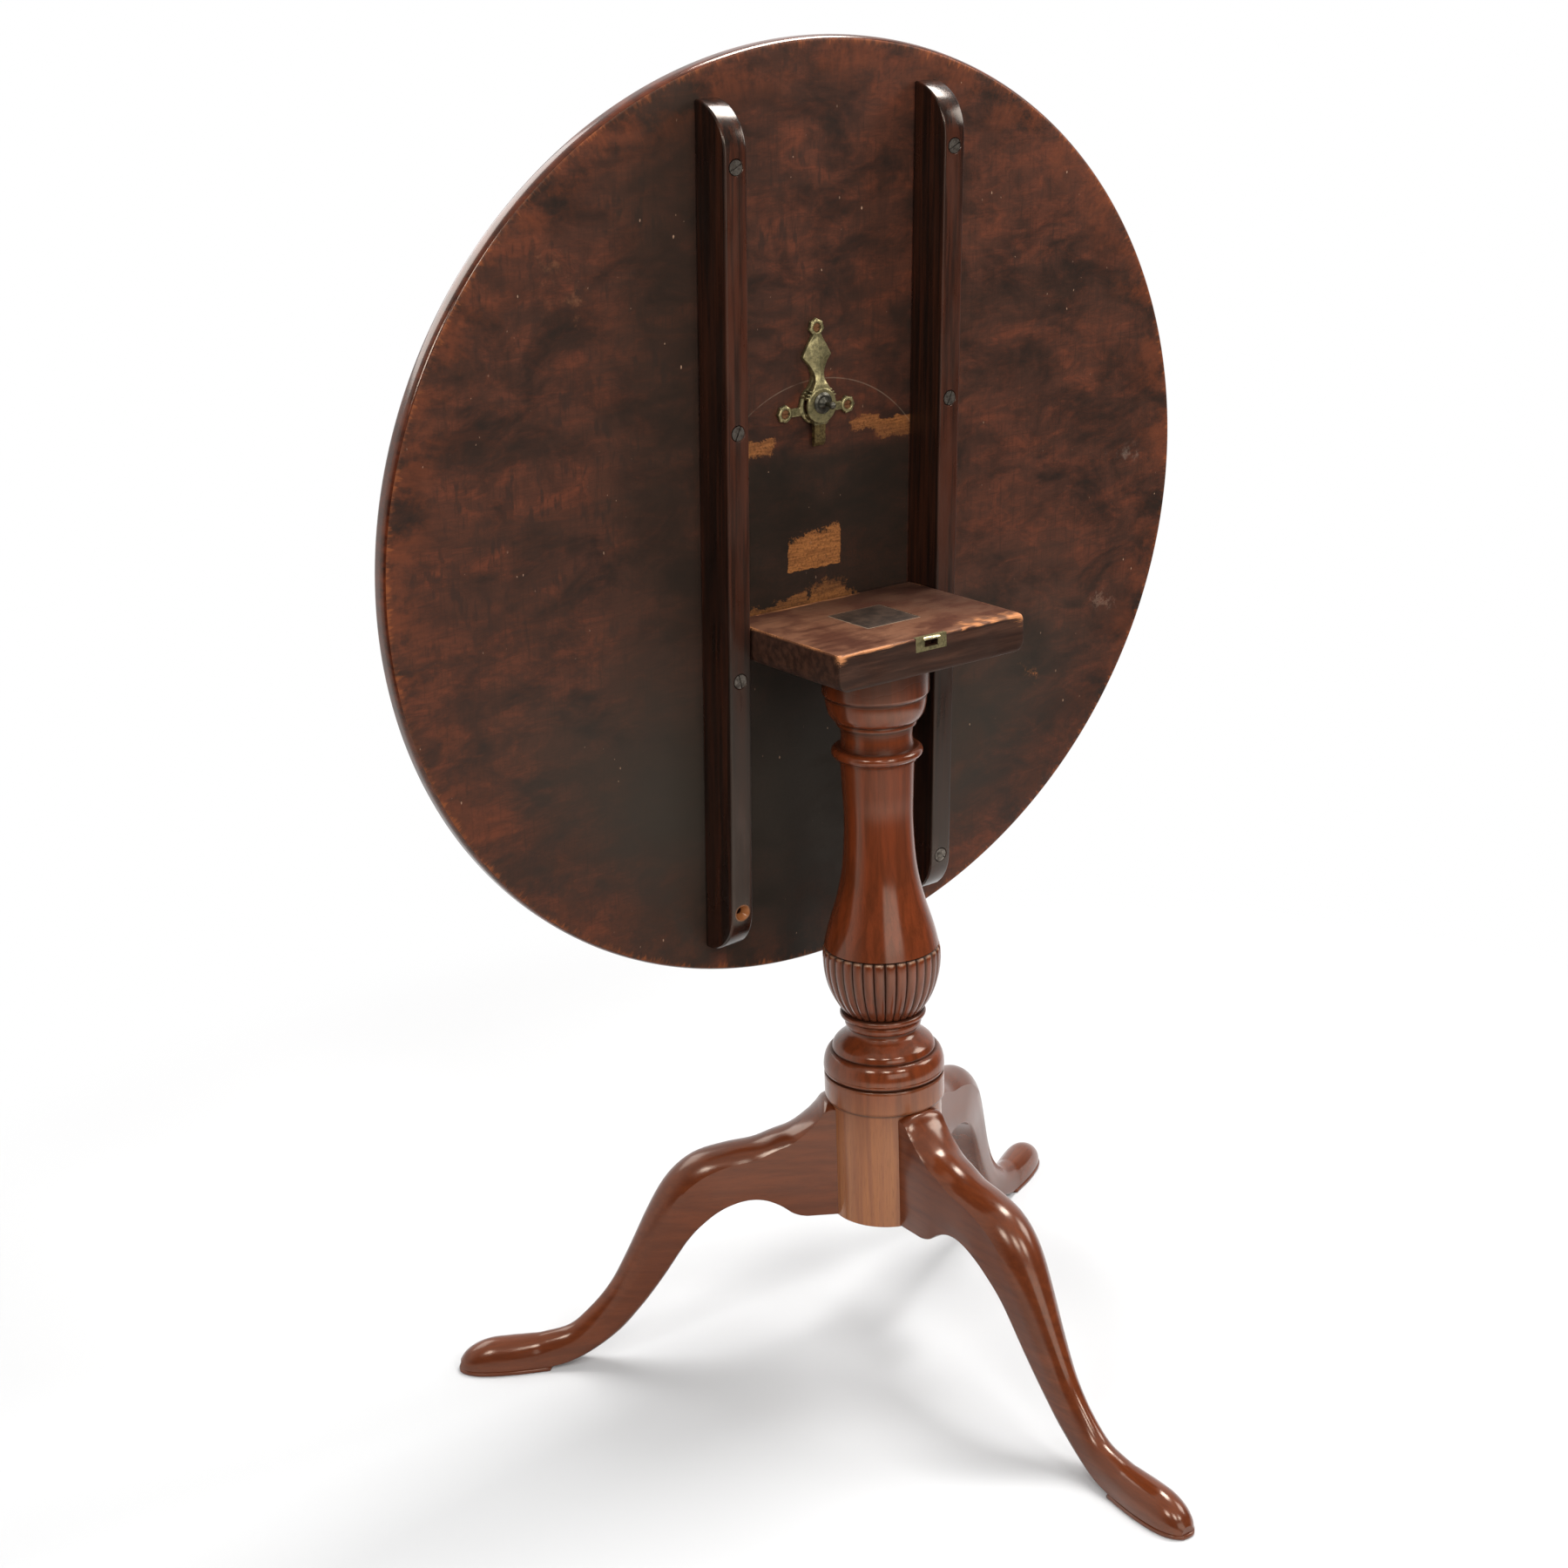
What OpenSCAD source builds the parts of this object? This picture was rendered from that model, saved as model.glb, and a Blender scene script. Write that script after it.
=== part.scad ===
// Tilt-top tripod table in mahogany. A round top is screwed to two bearers, which
// turn on the pintles of a block, so the top lies flat or stands up behind the block.
// A spring catch of brass holds it flat. The block sits on a turned pillar with a
// reeded bulb, and three cabriole legs are dovetailed into the pillar's foot.
// The model stands as the table is stored, with its top tilted up.
// Origin: on the floor, in the middle of the space that the table takes up. Its top's
// underside faces -Y. The pillar stands a little behind the origin.

/* [Top] */
// Width of the top along its grain
top_along = 826; // [780:1:880]
// Width of the top across its grain, where the wood has shrunk
top_across = 801; // [760:1:860]
// Thickness of the top
top_thick = 19; // [16:0.5:24]
// Width that the rounded rim takes off the underside
rim_under = 4; // [2:0.5:6]
// Width that the rounded rim takes off the upper face
rim_over = 7; // [3:0.5:9]

/* [Bearers] */
// Length of each bearer
bearer_len = 719; // [640:1:740]
// Depth of each bearer below the top
bearer_deep = 40.6; // [34:0.2:48]
// Thickness of each bearer
bearer_thick = 21.4; // [19:0.2:26]
// Gap between an end of the block and its bearer
bearer_gap = 2.4; // [1:0.2:4]
// Diameter of a bearer screw's head
screw_head = 12; // [9:0.5:14]
// Diameter of a bearer screw's shank
screw_shank = 5.4; // [4:0.2:7]
// Depth to which a bearer screw bites into the top
screw_bite = 12; // [8:0.5:13]
// Distance of the outermost bearer screw from the bearer's far end
screw_end = 49; // [42:1:60]
// Distance between neighbouring bearer screws
screw_pitch = 209; // [190:1:215]

/* [Hinge] */
// Distance of the hinge axis below the top's underside
hinge_drop = 9; // [8:0.5:12]
// Diameter of the block's pintles
pintle_d = 14; // [10:0.5:15]
// Length of a pintle inside its bearer
pintle_in = 14; // [8:0.5:16]
// Distance from the hinge axis to the middle of the top
top_centre = 74.3; // [66:0.1:84]
// Angle past upright at which the top comes to rest on the block
rest_lean = 2.9; // [0.5:0.1:6]

/* [Block] */
// Width of the block between the bearers
block_w = 193.4; // [170:0.2:220]
// Thickness of the block
block_thick = 31.5; // [28:0.5:40]
// Distance of the block's front face from the pillar's axis
block_front = 78.8; // [70:0.2:90]
// Distance of the hinge axis behind the pillar's axis
hinge_back = 70.4; // [62:0.2:80]
// Radius of the block's worn lower corners
block_corner = 9; // [3:0.5:12]
// Width of the pillar's square tenon through the block
tenon_w = 56; // [40:1:60]

/* [Pillar] */
// Height of the block's upper face above the floor
block_top = 684.4; // [655:0.2:720]
// Height of the pillar's lower end above the floor
pillar_foot = 140.9; // [125:0.1:160]
// Height of the plain stump that takes the legs
stump_h = 108; // [100:1:120]
// Radius of the stump
stump_r = 50.3; // [48:0.1:52]
// Height of the plain band above the legs
band_h = 22.5; // [16:0.5:28]
// Radius of the plain band
band_r = 53; // [52.5:0.1:56]
// Height of the thick rounded moulding above the band
torus_h = 22.5; // [16:0.5:26]
// Height of the bell-shaped moulding above that
bell_h = 17.5; // [14:0.5:22]
// Radius of the thin neck above the bell
waist_r = 30.5; // [27:0.1:33]
// Height of the two rings below the bulb
rings_h = 20; // [18:0.5:24]
// Height of the reeded part of the bulb
reeds_h = 60; // [50:0.5:66]
// Radius of the bulb over its reeds
bulb_r = 51.5; // [48:0.1:54]
// Number of reeds
reed_count = 32; // [24:1:36]
// Depth of the valleys between the reeds
reed_deep = 2; // [1:0.1:2.6]
// Radius of the shaft where it is thinnest
shaft_r = 29.8; // [27:0.1:33]
// Height of the ring round the top of the shaft
astragal_h = 9.5; // [7:0.5:12]
// Radius of that ring
astragal_r = 39.2; // [37:0.1:42]
// Height of the plain neck above the ring
neck_h = 20.5; // [14:0.5:28]
// Height of the cup below the collar
cup_h = 27.5; // [22:0.5:32]
// Height of the collar below the block
collar_h = 32.5; // [26:0.5:40]
// Radius of the collar
collar_r = 45.6; // [44:0.1:50]

/* [Legs] */
// Distance of the toes from the pillar's axis
leg_reach = 392.5; // [360:0.5:425]
// Thickness of a leg where it meets the pillar
leg_thick = 41; // [36:0.5:44]
// Angle by which pillar and legs are turned under the block
stand_turn = -1.1; // [-3:0.1:3]
// Thickness of the pad under each foot
pad_h = 4; // [3:0.5:8]
// Lip of the pad around the foot
pad_lip = 0.9; // [0.3:0.1:2]
// Width of a leg's dovetail where it leaves the leg
dovetail_w = 15; // [12:0.5:18]
// Depth of a leg's dovetail into the pillar
dovetail_deep = 14; // [10:0.5:17]
// Thickness of the iron strap under the pillar
strap_thick = 2.6; // [2:0.1:4]
// Width of the strap's arms
strap_w = 16; // [13:0.5:20]
// Length of the strap's arms from the pillar's axis
strap_len = 74; // [68:0.5:76]

/* [Catch] */
// Distance of the catch to the left of the middle of the top
catch_left = 3; // [0:0.5:5]
// Distance of the drum's middle from the hinge axis
drum_out = 179; // [174:0.5:190]
// Radius of the catch's drum
drum_r = 15; // [14:0.5:17]
// Height of the drum's face above the wood
drum_h = 11.3; // [11:0.1:13]
// Wall of the drum
drum_wall = 1.6; // [1.2:0.1:2]
// Width of the bolt
bolt_w = 11; // [8:0.5:13]
// Thickness of the bolt
bolt_thick = 4; // [3:0.1:4.4]
// Depth to which the bolt enters the block
bolt_throw = 5; // [3.5:0.1:6]
// Travel of the bolt and its knob
bolt_travel = 6; // [5:0.1:6.5]
// Radius of the knob's ball
ball_r = 3.2; // [2.5:0.1:4]
// Height of the ball's middle above the drum's face
ball_out = 13; // [9:0.5:16]
// Radius of the steel washer under the knob
washer_r = 9; // [8:0.1:10]
// Width of the keep plate in the block's front
keep_w = 32; // [26:0.5:40]
// Height of the keep plate
keep_h = 12; // [11:0.5:15]
// Thickness of the keep plate
keep_thick = 1.2; // [0.8:0.1:1.6]

/* [Hidden] */

// Clearances
turn_fit = 0.1;       // pintle in its hole, on the radius
seat_gap = 0.1;       // between the top and the block it lies or rests on
wood_gap = 0.1;       // glued joints and screws in their holes
slide_gap = 0.3;      // bolt and washer in the catch
eps = 0.01;

// Hinge frame. Seen with the top lying flat, its origin is on the hinge axis,
// -Y points out to the front and the underside of the top is at z = hinge_drop.
hinge_z = block_top + seat_gap - hinge_drop;
tilt_travel = 90 - rest_lean;
bearer_x = block_w / 2 + bearer_gap + bearer_thick / 2;
block_reach = hinge_back + block_front;

// Turned pillar, heights of its mouldings from the floor up
z_band = pillar_foot + stump_h;
z_torus = z_band + band_h;
z_bell = z_torus + torus_h;
z_waist = z_bell + bell_h;
z_bulb = z_waist + rings_h;
z_shaft = z_bulb + reeds_h;
z_block = block_top - block_thick;
z_collar = z_block - collar_h;
z_cup = z_collar - cup_h;
z_neck = z_cup - neck_h;
z_astragal = z_neck - astragal_h;
bell_r = band_r - 7;
cup_r = shaft_r + 5;
ring_r = waist_r + 7;
arc_steps = 8;

// Bell: share of its height, and share of the way from the waist out to its lip
bell_shape = [[0, 1], [0.08, 0.94], [0.26, 0.68], [0.58, 0.24], [0.8, 0.07], [1, 0]];

// Shaft: share of its height, and radius over the thinnest part
shaft_shape = [[0, 20.2], [0.1, 16.2], [0.27, 7.7], [0.44, 2.2], [0.67, 0], [0.84, 0.8], [1, 2]];

// Leg, from inside the pillar to the toe. Each row gives the way out as a share of
// the reach, the height of the lower edge as a share of the pillar's foot, the depth as
// a share of leg_thick and its slant, the width as a share of leg_thick, and how square
// the upper and the lower half of the section are.
leg_shape = [
    [-0.05, 1.003, 2.561, 0, 1, 4.5, 9],
    [0.008, 1.003, 2.5, -1.5, 1, 4.5, 9],
    [0.047, 1.003, 2.207, -4, 1, 4.5, 9],
    [0.098, 1.012, 2.012, -2.7, 1, 4.5, 9],
    [0.14, 1.093, 1.566, 1.7, 1, 4.2, 9],
    [0.182, 1.138, 1.268, 8.4, 1.01, 4, 9],
    [0.229, 1.143, 1.217, 20, 1.04, 3.8, 8],
    [0.281, 1.103, 1.276, 31.5, 1.07, 3.4, 7],
    [0.33, 1.016, 1.232, 41.2, 1.02, 3, 5],
    [0.382, 0.869, 1.071, 52.7, 0.89, 2.6, 3.5],
    [0.451, 0.597, 0.937, 56.7, 0.73, 2.4, 2.4],
    [0.514, 0.378, 0.839, 51.7, 0.62, 2.3, 2.4],
    [0.584, 0.186, 0.812, 41.7, 0.57, 2.2, 2.4],
    [0.672, 0.052, 0.715, 21, 0.61, 2.2, 4],
    [0.762, 0, 0.698, 8, 0.69, 2.2, 6],
    [0.806, 0, 0.663, 3, 0.77, 2.2, 8],
    [0.861, 0, 0.646, 2, 0.84, 2.2, 8],
    [0.914, 0, 0.617, 0, 0.83, 2.2, 8],
    [0.953, 0, 0.507, 0, 0.74, 2.2, 8],
    [0.981, 0, 0.349, 0, 0.55, 2.2, 8],
    [0.997, 0, 0.171, 0, 0.31, 2.2, 8]];
leg_heel = 14;        // row where the foot's pad begins
ring_points = 16;
// Directions of the legs. They were cut in by eye, so none is quite a third of a
// turn from the next.
leg_turn = [-90, 149.4, 30.7];

// Catch, heights measured down from the top's underside
lug_thick = 2.4;
lug_r = 5.2;
lug_side = 32.5;      // side lugs from the drum's middle
lug_near = 4.5;       // side lugs nearer to the hinge than the drum's middle
lug_far = 64;         // far lug from the drum's middle
bead_r = 1.5;
shield_far = 56;      // tip and shoulders of the shield, from the drum's middle
shield_wide = 39;
shield_half = 14.5;
shield_thick = 4.6;
neck_half = 4.6;
bolt_low = 4;         // gap between the bolt and the wood
stem_r = 2;
knob_rest = 2.5;      // knob beyond the drum's middle, with the bolt out
washer_thick = 2;
small_head = 7;
small_shank = 2.6;
pocket_deep = 9;
strap_out = [60, 70];
strap_head = 7;

function lerp(a, b, t) = a + (b - a) * t;

// Smooth curve through the rows of a list: value at row i plus t
function row(list, i) = list[max(0, min(len(list) - 1, i))];
function curve(list, i, t) =
    let (p0 = row(list, i - 1), p1 = row(list, i), p2 = row(list, i + 1), p3 = row(list, i + 2))
    0.5 * (2 * p1 + t * (p2 - p0) + t * t * (2 * p0 - 5 * p1 + 4 * p2 - p3)
        + t * t * t * (3 * p1 - p0 - 3 * p2 + p3));
function smooth(list, steps) = concat(
    [for (i = [0:len(list) - 2], k = [0:steps - 1]) curve(list, i, k / steps)],
    [list[len(list) - 1]]);

// Profile pieces of the pillar, as points [radius, height]
function round_in(r0, z0, r1, z1) =
    [for (k = [0:arc_steps]) let (a = 90 * k / arc_steps)
        [lerp(r1, r0, cos(a)), lerp(z0, z1, sin(a))]];
function round_out(r0, z0, r1, z1) =
    [for (k = [0:arc_steps]) let (a = 90 * k / arc_steps)
        [lerp(r0, r1, sin(a)), lerp(z1, z0, cos(a))]];
function bead(r, z0, z1, out) =
    [for (k = [0:arc_steps]) let (a = 180 * k / arc_steps)
        [r + out * sin(a), lerp(z0, z1, (1 - cos(a)) / 2)]];

// Bulb over the reeds: part of an ellipse, widest below the top of the reeding
bulb_wide = z_shaft - 11;
bulb_tall = 66.8;
function bulb(z) = bulb_r * sqrt(1 - pow((z - bulb_wide) / bulb_tall, 2));

function shaft_profile() =
    [for (p = smooth(shaft_shape, 4))
        [shaft_r + p[1], lerp(z_shaft + reed_notch, z_astragal - 3, p[0])]];

function lower_profile() = concat(
    [[0, pillar_foot], [stump_r, pillar_foot], [stump_r, z_band], [band_r - 0.6, z_band],
        [band_r, z_band + 0.8], [band_r, z_torus - 0.8], [band_r - 0.6, z_torus],
        [band_r - 2.2, z_torus], [band_r - 2.2, z_torus + 2]],
    bead(band_r - 0.6, z_torus + 2, z_torus + 0.27 * torus_h, 0.8),
    round_in(band_r + 0.4, z_torus + 0.27 * torus_h, bell_r, z_bell),
    [[bell_r - 1.2, z_bell], [bell_r - 1.2, z_bell + 1]],
    [for (p = smooth(bell_shape, 3)) [lerp(waist_r, bell_r - 0.6, p[1]), lerp(z_bell + 1, z_waist, p[0])]],
    [[waist_r, z_waist + 0.2 * rings_h]],
    bead(waist_r + 1, z_waist + 0.2 * rings_h, z_waist + 0.63 * rings_h, 2.2),
    [[waist_r + 2, z_waist + 0.67 * rings_h]],
    bead(ring_r - 2.2, z_waist + 0.67 * rings_h, z_waist + 0.95 * rings_h, 2.5),
    [[bulb(z_bulb) + 0.6, z_bulb]]);

// The pillar's own wood under the reeds stays well inside them
core_in = 6;
core_r = bulb_r - reed_deep - core_in;
function bulb_core() = [[bulb(z_bulb) - core_in, z_bulb], [bulb(z_bulb) - core_in, z_bulb + 2],
    [core_r, z_shaft - 20], [core_r, z_shaft + reed_notch]];

function upper_profile() = concat(
    [[shaft_r + 3.8, z_astragal - 3], [shaft_r + 3.8, z_astragal]],
    bead(shaft_r + 3.8, z_astragal, z_neck, astragal_r - shaft_r - 3.8),
    [[shaft_r + 1.7, z_neck], [shaft_r + 0.6, z_neck + 0.45 * neck_h],
        [shaft_r + 1.4, z_cup - 2], [cup_r - 0.8, z_cup - 1], [cup_r - 0.2, z_cup + 1],
        [cup_r - 0.8, z_cup + 3], [cup_r - 0.4, z_cup + 3.4]],
    round_out(cup_r - 0.4, z_cup + 3.4, collar_r - 2.3, z_collar - 2.6),
    [[collar_r - 1.6, z_collar - 2.2], [collar_r - 0.2, z_collar], [collar_r, z_collar + 1],
        [collar_r, z_block], [0, z_block]]);

function distinct(list) =
    [for (i = [0:len(list) - 1]) if (i == 0 || norm(list[i] - list[i - 1]) > 0.02) list[i]];

module pillar_turning() {
    rotate_extrude($fn = 96)
        polygon(distinct(concat(lower_profile(), bulb_core(), shaft_profile(), upper_profile())));
}

// Reeds: four points to each one, from valley over crest to valley. Above them a
// notch parts their ends from the shaft.
reed_notch = 0.6;
reed_round = [0, 0.78, 1, 0.78];
reed_rows = [for (k = [0:10]) lerp(z_bulb, z_shaft, k / 10)];
function reed_ring(z, deep) =
    [for (k = [0:4 * reed_count - 1]) let (a = 90 * k / reed_count, r = bulb(z) - reed_deep)
        [(r + deep * reed_round[k % 4]) * cos(a), (r + deep * reed_round[k % 4]) * sin(a), z]];

module tube_solid(rings) {
    n = len(rings[0]);
    m = len(rings);
    sides = [for (i = [0:m - 2], k = [0:n - 1]) let (a = i * n + k, b = i * n + (k + 1) % n)
        each [[a, b + n, b], [a, a + n, b + n]]];
    low = [for (k = [0:n - 1]) k];
    high = [for (k = [n - 1:-1:0]) (m - 1) * n + k];
    polyhedron([for (r = rings) each r], concat(sides, [low, high]));
}

module reeds() {
    tube_solid(concat(
        [[for (p = reed_ring(z_bulb, reed_deep)) [0.9 * p[0], 0.9 * p[1], z_bulb - 1]]],
        [for (z = reed_rows) reed_ring(z, reed_deep)],
        [[for (p = reed_ring(z_shaft, reed_deep)) [0.93 * p[0], 0.93 * p[1], z_shaft + 2 * reed_notch]]]));
}

// Dovetail of a leg in plan, pointing along +X from the pillar's axis
module dovetail_plan(gap) {
    w0 = dovetail_w / 2 + gap;
    w1 = dovetail_w / 2 + 3 + gap;
    x0 = stump_r - dovetail_deep - gap;
    polygon([[x0, -w1], [stump_r + 3, -w0], [stump_r + 3, w0], [x0, w1]]);
}

dovetail_h = 0.85 * stump_h;

module dovetail(gap) {
    translate([0, 0, pillar_foot - eps * sign(gap)])
        linear_extrude(dovetail_h + gap)
            dovetail_plan(gap);
}

module pillar() {
    color("#7a3416")
        on_pillar() rotate([0, 0, stand_turn])
            difference() {
                union() {
                    pillar_turning();
                    reeds();
                    rotate([0, 0, -stand_turn])
                        translate([-tenon_w / 2, -tenon_w / 2, z_block - 5])
                            cube([tenon_w, tenon_w, block_thick + 5]);
                }
                for (a = leg_turn)
                    rotate([0, 0, a])
                        dovetail(wood_gap);
                rotate([0, 0, leg_turn[0]])
                    strap_hole(0);
            }
}

// One ring of a leg's section, in the plane through the pillar's axis along +X
leg_rows = smooth(leg_shape, 2);
leg_root = 0.972 * stump_h;
function leg_out(p) = stump_r + p[0] * (leg_reach - stump_r);
function leg_low(p) = pad_h - 0.6 + p[1] * (pillar_foot - pad_h + 0.6);
leg_root_share = leg_root / (leg_shape[0][2] * leg_thick);
leg_blend = 0.25;     // share of the reach over which the root's depth fades out
function leg_deep(p) =
    p[2] * leg_thick * (1 + (leg_root_share - 1) * max(0, 1 - max(0, p[0]) / leg_blend));
most = cos(180 / ring_points);
function bulge(v, square) = sign(v) * pow(abs(v) / most, 2 / square);
function leg_ring(p) =
    let (half = leg_deep(p) / 2, wide = p[4] * leg_thick / 2)
    [for (k = [0:ring_points - 1])
        let (a = 360 * (k + 0.5) / ring_points, square = sin(a) > 0 ? p[5] : p[6],
            up = half + half * bulge(sin(a), square), side = wide * bulge(cos(a), square))
        [leg_out(p) + up * sin(p[3]), side, leg_low(p) + up * cos(p[3])]];

function pad_side(side, grow) =
    [for (i = [2 * leg_heel:len(leg_rows) - 1]) let (p = leg_rows[i])
        [leg_out(p), side * (p[4] * leg_thick / 2 + grow)]];
function flip(list) = [for (i = [len(list) - 1:-1:0]) list[i]];

pad_outline = concat(pad_side(-1, pad_lip),
    [for (y = [-1, 0, 1]) [leg_reach + pad_lip * (1 - 0.6 * abs(y)), y * 0.12 * leg_thick]],
    flip(pad_side(1, pad_lip)),
    [for (y = [1, -1]) [leg_out(leg_rows[2 * leg_heel]) - 3, y * 0.17 * leg_thick]]);

module foot_pad() {
    linear_extrude(pad_h)
        polygon(pad_outline);
}

// The feet reach furthest to the front and the back, so they set the pillar's place
feet_y = [for (a = leg_turn, p = pad_outline)
    p[0] * sin(a + stand_turn) + p[1] * cos(a + stand_turn)];
pillar_y = -(max(feet_y) + min(feet_y)) / 2;

module on_pillar() {
    translate([0, pillar_y, 0])
        children();
}

module leg(turn) {
    color("#8a3d1a")
        on_pillar() rotate([0, 0, stand_turn + turn])
            difference() {
                union() {
                    difference() {
                        union() {
                            tube_solid([for (p = leg_rows) leg_ring(p)]);
                            foot_pad();
                        }
                        translate([0, 0, pillar_foot - stump_h])
                            cylinder(r = stump_r + wood_gap, h = 3 * stump_h, $fn = 96);
                    }
                    dovetail(0);
                }
                for (x = strap_out)
                    translate([x, 0, 0])
                        strap_hole(0);
            }
}

// Hole for a strap screw, in wood when the gap is set and its own shank when it isn't
strap_bite = 14;
module strap_hole(less) {
    translate([0, 0, pillar_foot - eps])
        cylinder(r = small_shank / 2 + wood_gap - less, h = strap_bite, $fn = 24);
}

module strap_sink(less) {
    translate([0, 0, pillar_foot - strap_thick - eps])
        cylinder(r1 = strap_head / 2 + wood_gap - less, r2 = small_shank / 2 + wood_gap - less,
            h = strap_thick + 2 * eps, $fn = 32);
}

module leg_strap() {
    color("#2b2724")
        on_pillar() rotate([0, 0, stand_turn])
            difference() {
                translate([0, 0, pillar_foot - strap_thick])
                    linear_extrude(strap_thick)
                        union() {
                            circle(r = strap_w, $fn = 48);
                            for (a = leg_turn)
                                rotate([0, 0, a]) {
                                    translate([0, -strap_w / 2])
                                        square([strap_len - strap_w / 2, strap_w]);
                                    translate([strap_len - strap_w / 2, 0])
                                        circle(r = strap_w / 2, $fn = 48);
                                }
                        }
                strap_sink(0);
                for (a = leg_turn, x = strap_out)
                    rotate([0, 0, a])
                        translate([x, 0, 0])
                            strap_sink(0);
            }
}

module slot(head, deep) {
    translate([-head, -0.5, -eps])
        cube([2 * head, 1, deep + eps]);
}

module strap_screw() {
    difference() {
        union() {
            translate([0, 0, pillar_foot - strap_thick])
                cylinder(r1 = strap_head / 2, r2 = small_shank / 2, h = strap_thick, $fn = 32);
            translate([0, 0, pillar_foot - eps])
                cylinder(r = small_shank / 2, h = strap_bite - 1, $fn = 24);
        }
        translate([0, 0, pillar_foot - strap_thick])
            slot(strap_head, 1);
    }
}

module strap_screws() {
    color("#1f1c1a")
        on_pillar() rotate([0, 0, stand_turn]) {
            strap_screw();
            for (a = leg_turn, x = strap_out)
                rotate([0, 0, a])
                    translate([x, 0, 0])
                        strap_screw();
        }
}

// Block: plan width with worn lower corners, and a side view whose rear top corner
// is rounded about the hinge axis and whose rear face leans as the top does at rest
module block_across() {
    difference() {
        translate([-block_w / 2, 0])
            square([block_w, block_thick]);
        for (s = [-1, 1])
            translate([s * (block_w / 2 - block_corner), block_corner])
                difference() {
                    translate([s > 0 ? 0 : -2 * block_corner, -2 * block_corner])
                        square(2 * block_corner);
                    circle(r = block_corner, $fn = 64);
                }
    }
}

turn_r = hinge_drop - seat_gap;
rear_drop = hinge_z - z_block;
rear_y = (turn_r + rear_drop * sin(rest_lean)) / cos(rest_lean);

module block_side() {
    polygon(concat(
        [[-block_reach, -rear_drop], [rear_y, -rear_drop]],
        [for (k = [0:arc_steps]) let (a = lerp(rest_lean, 90, k / arc_steps))
            [turn_r * cos(a), turn_r * sin(a)]],
        [[-block_reach, turn_r]]));
}

// A turned corner stays exact: the round is a cylinder about the hinge axis
module block_body() {
    intersection() {
        translate([0, hinge_back + hinge_drop + 5, z_block])
            rotate([90, 0, 0])
                linear_extrude(block_reach + hinge_drop + 10)
                    block_across();
        translate([-block_w / 2 - 5, hinge_back, hinge_z])
            rotate([90, 0, 90])
                linear_extrude(block_w + 10)
                    block_side();
    }
}

keep_open_w = bolt_w + 3;
keep_back = 4;        // return of the keep along the block's top
keep_open_low = bolt_low + bolt_thick + 0.9;
keep_open_high = bolt_low - 0.9;

module keep_spot() {
    translate([-catch_left, -block_front, block_top])
        children();
}

module block() {
    color("#4a2314")
        on_pillar() union() {
            difference() {
                block_body();
                translate([-tenon_w / 2 - wood_gap, -tenon_w / 2 - wood_gap, z_block - 5])
                    cube([tenon_w + 2 * wood_gap, tenon_w + 2 * wood_gap, block_thick + 10]);
                keep_spot() {
                    translate([-keep_w / 2 - wood_gap, -eps, -keep_h - wood_gap])
                        cube([keep_w + 2 * wood_gap, keep_thick + wood_gap + eps, keep_h + 5]);
                    translate([-keep_w / 2 - wood_gap, -eps, -keep_thick - wood_gap])
                        cube([keep_w + 2 * wood_gap, keep_back + wood_gap, 5]);
                    translate([-keep_open_w / 2 - wood_gap, 0, -keep_open_high - 0.5])
                        cube([keep_open_w + 2 * wood_gap, keep_back + wood_gap, keep_open_high + 1]);
                    translate([-keep_open_w / 2 - 0.5, 0, -keep_open_low - 0.5])
                        cube([keep_open_w + 1, pocket_deep, keep_open_low - keep_open_high + 1]);
                    for (s = [-1, 1])
                        translate([s * pin_out, keep_thick - eps, -keep_h / 2])
                            rotate([-90, 0, 0])
                                cylinder(r = 0.8 + wood_gap, h = 7, $fn = 24);
                }
            }
            for (s = [-1, 1])
                translate([s * (block_w / 2 - eps), hinge_back, hinge_z])
                    rotate([0, s * 90, 0])
                        cylinder(r = pintle_d / 2, h = bearer_gap + pintle_in + eps, $fn = 64);
        }
}

// Keep: an angle plate let into the block's front and top, with a rolled lip above
// the bolt's opening, and two brass pins
pin_out = keep_w / 2 - 3.5;

module keep_plate() {
    color("#a08f55")
        on_pillar() keep_spot()
            difference() {
                union() {
                    translate([-keep_w / 2, 0, -keep_h])
                        cube([keep_w, keep_thick, keep_h]);
                    translate([-keep_w / 2, 0, -keep_thick])
                        cube([keep_w, keep_back, keep_thick]);
                    translate([-keep_open_w / 2, 1.5, -keep_open_high / 2])
                        rotate([0, 90, 0])
                            cylinder(r = keep_open_high / 2, h = keep_open_w, $fn = 48);
                }
                translate([-keep_open_w / 2, -1, -keep_open_low])
                    cube([keep_open_w, 4, keep_open_low - keep_open_high]);
                for (s = [-1, 1])
                    translate([s * pin_out, -1, -keep_h / 2])
                        rotate([-90, 0, 0])
                            cylinder(r = 0.8 + wood_gap, h = 5, $fn = 24);
            }
}

module keep_pins() {
    color("#8d7a45")
        on_pillar() keep_spot()
            for (s = [-1, 1])
                translate([s * pin_out, -0.3, -keep_h / 2])
                    rotate([-90, 0, 0])
                        union() {
                            cylinder(r = 0.8, h = 6.5, $fn = 24);
                            cylinder(r = 1.3, h = 0.3, $fn = 24);
                        }
}

// Everything below turns with the top. Its modules are drawn with the top lying
// flat, in the hinge frame, and tilted() stands them up.
module tilted() {
    translate([0, pillar_y + hinge_back, hinge_z])
        rotate([-tilt_travel, 0, 0])
            children();
}

// A place on the top's underside, with z pointing away from the wood
module under(x, out) {
    translate([x, -out, hinge_drop])
        rotate([180, 0, 0])
            children();
}

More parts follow.
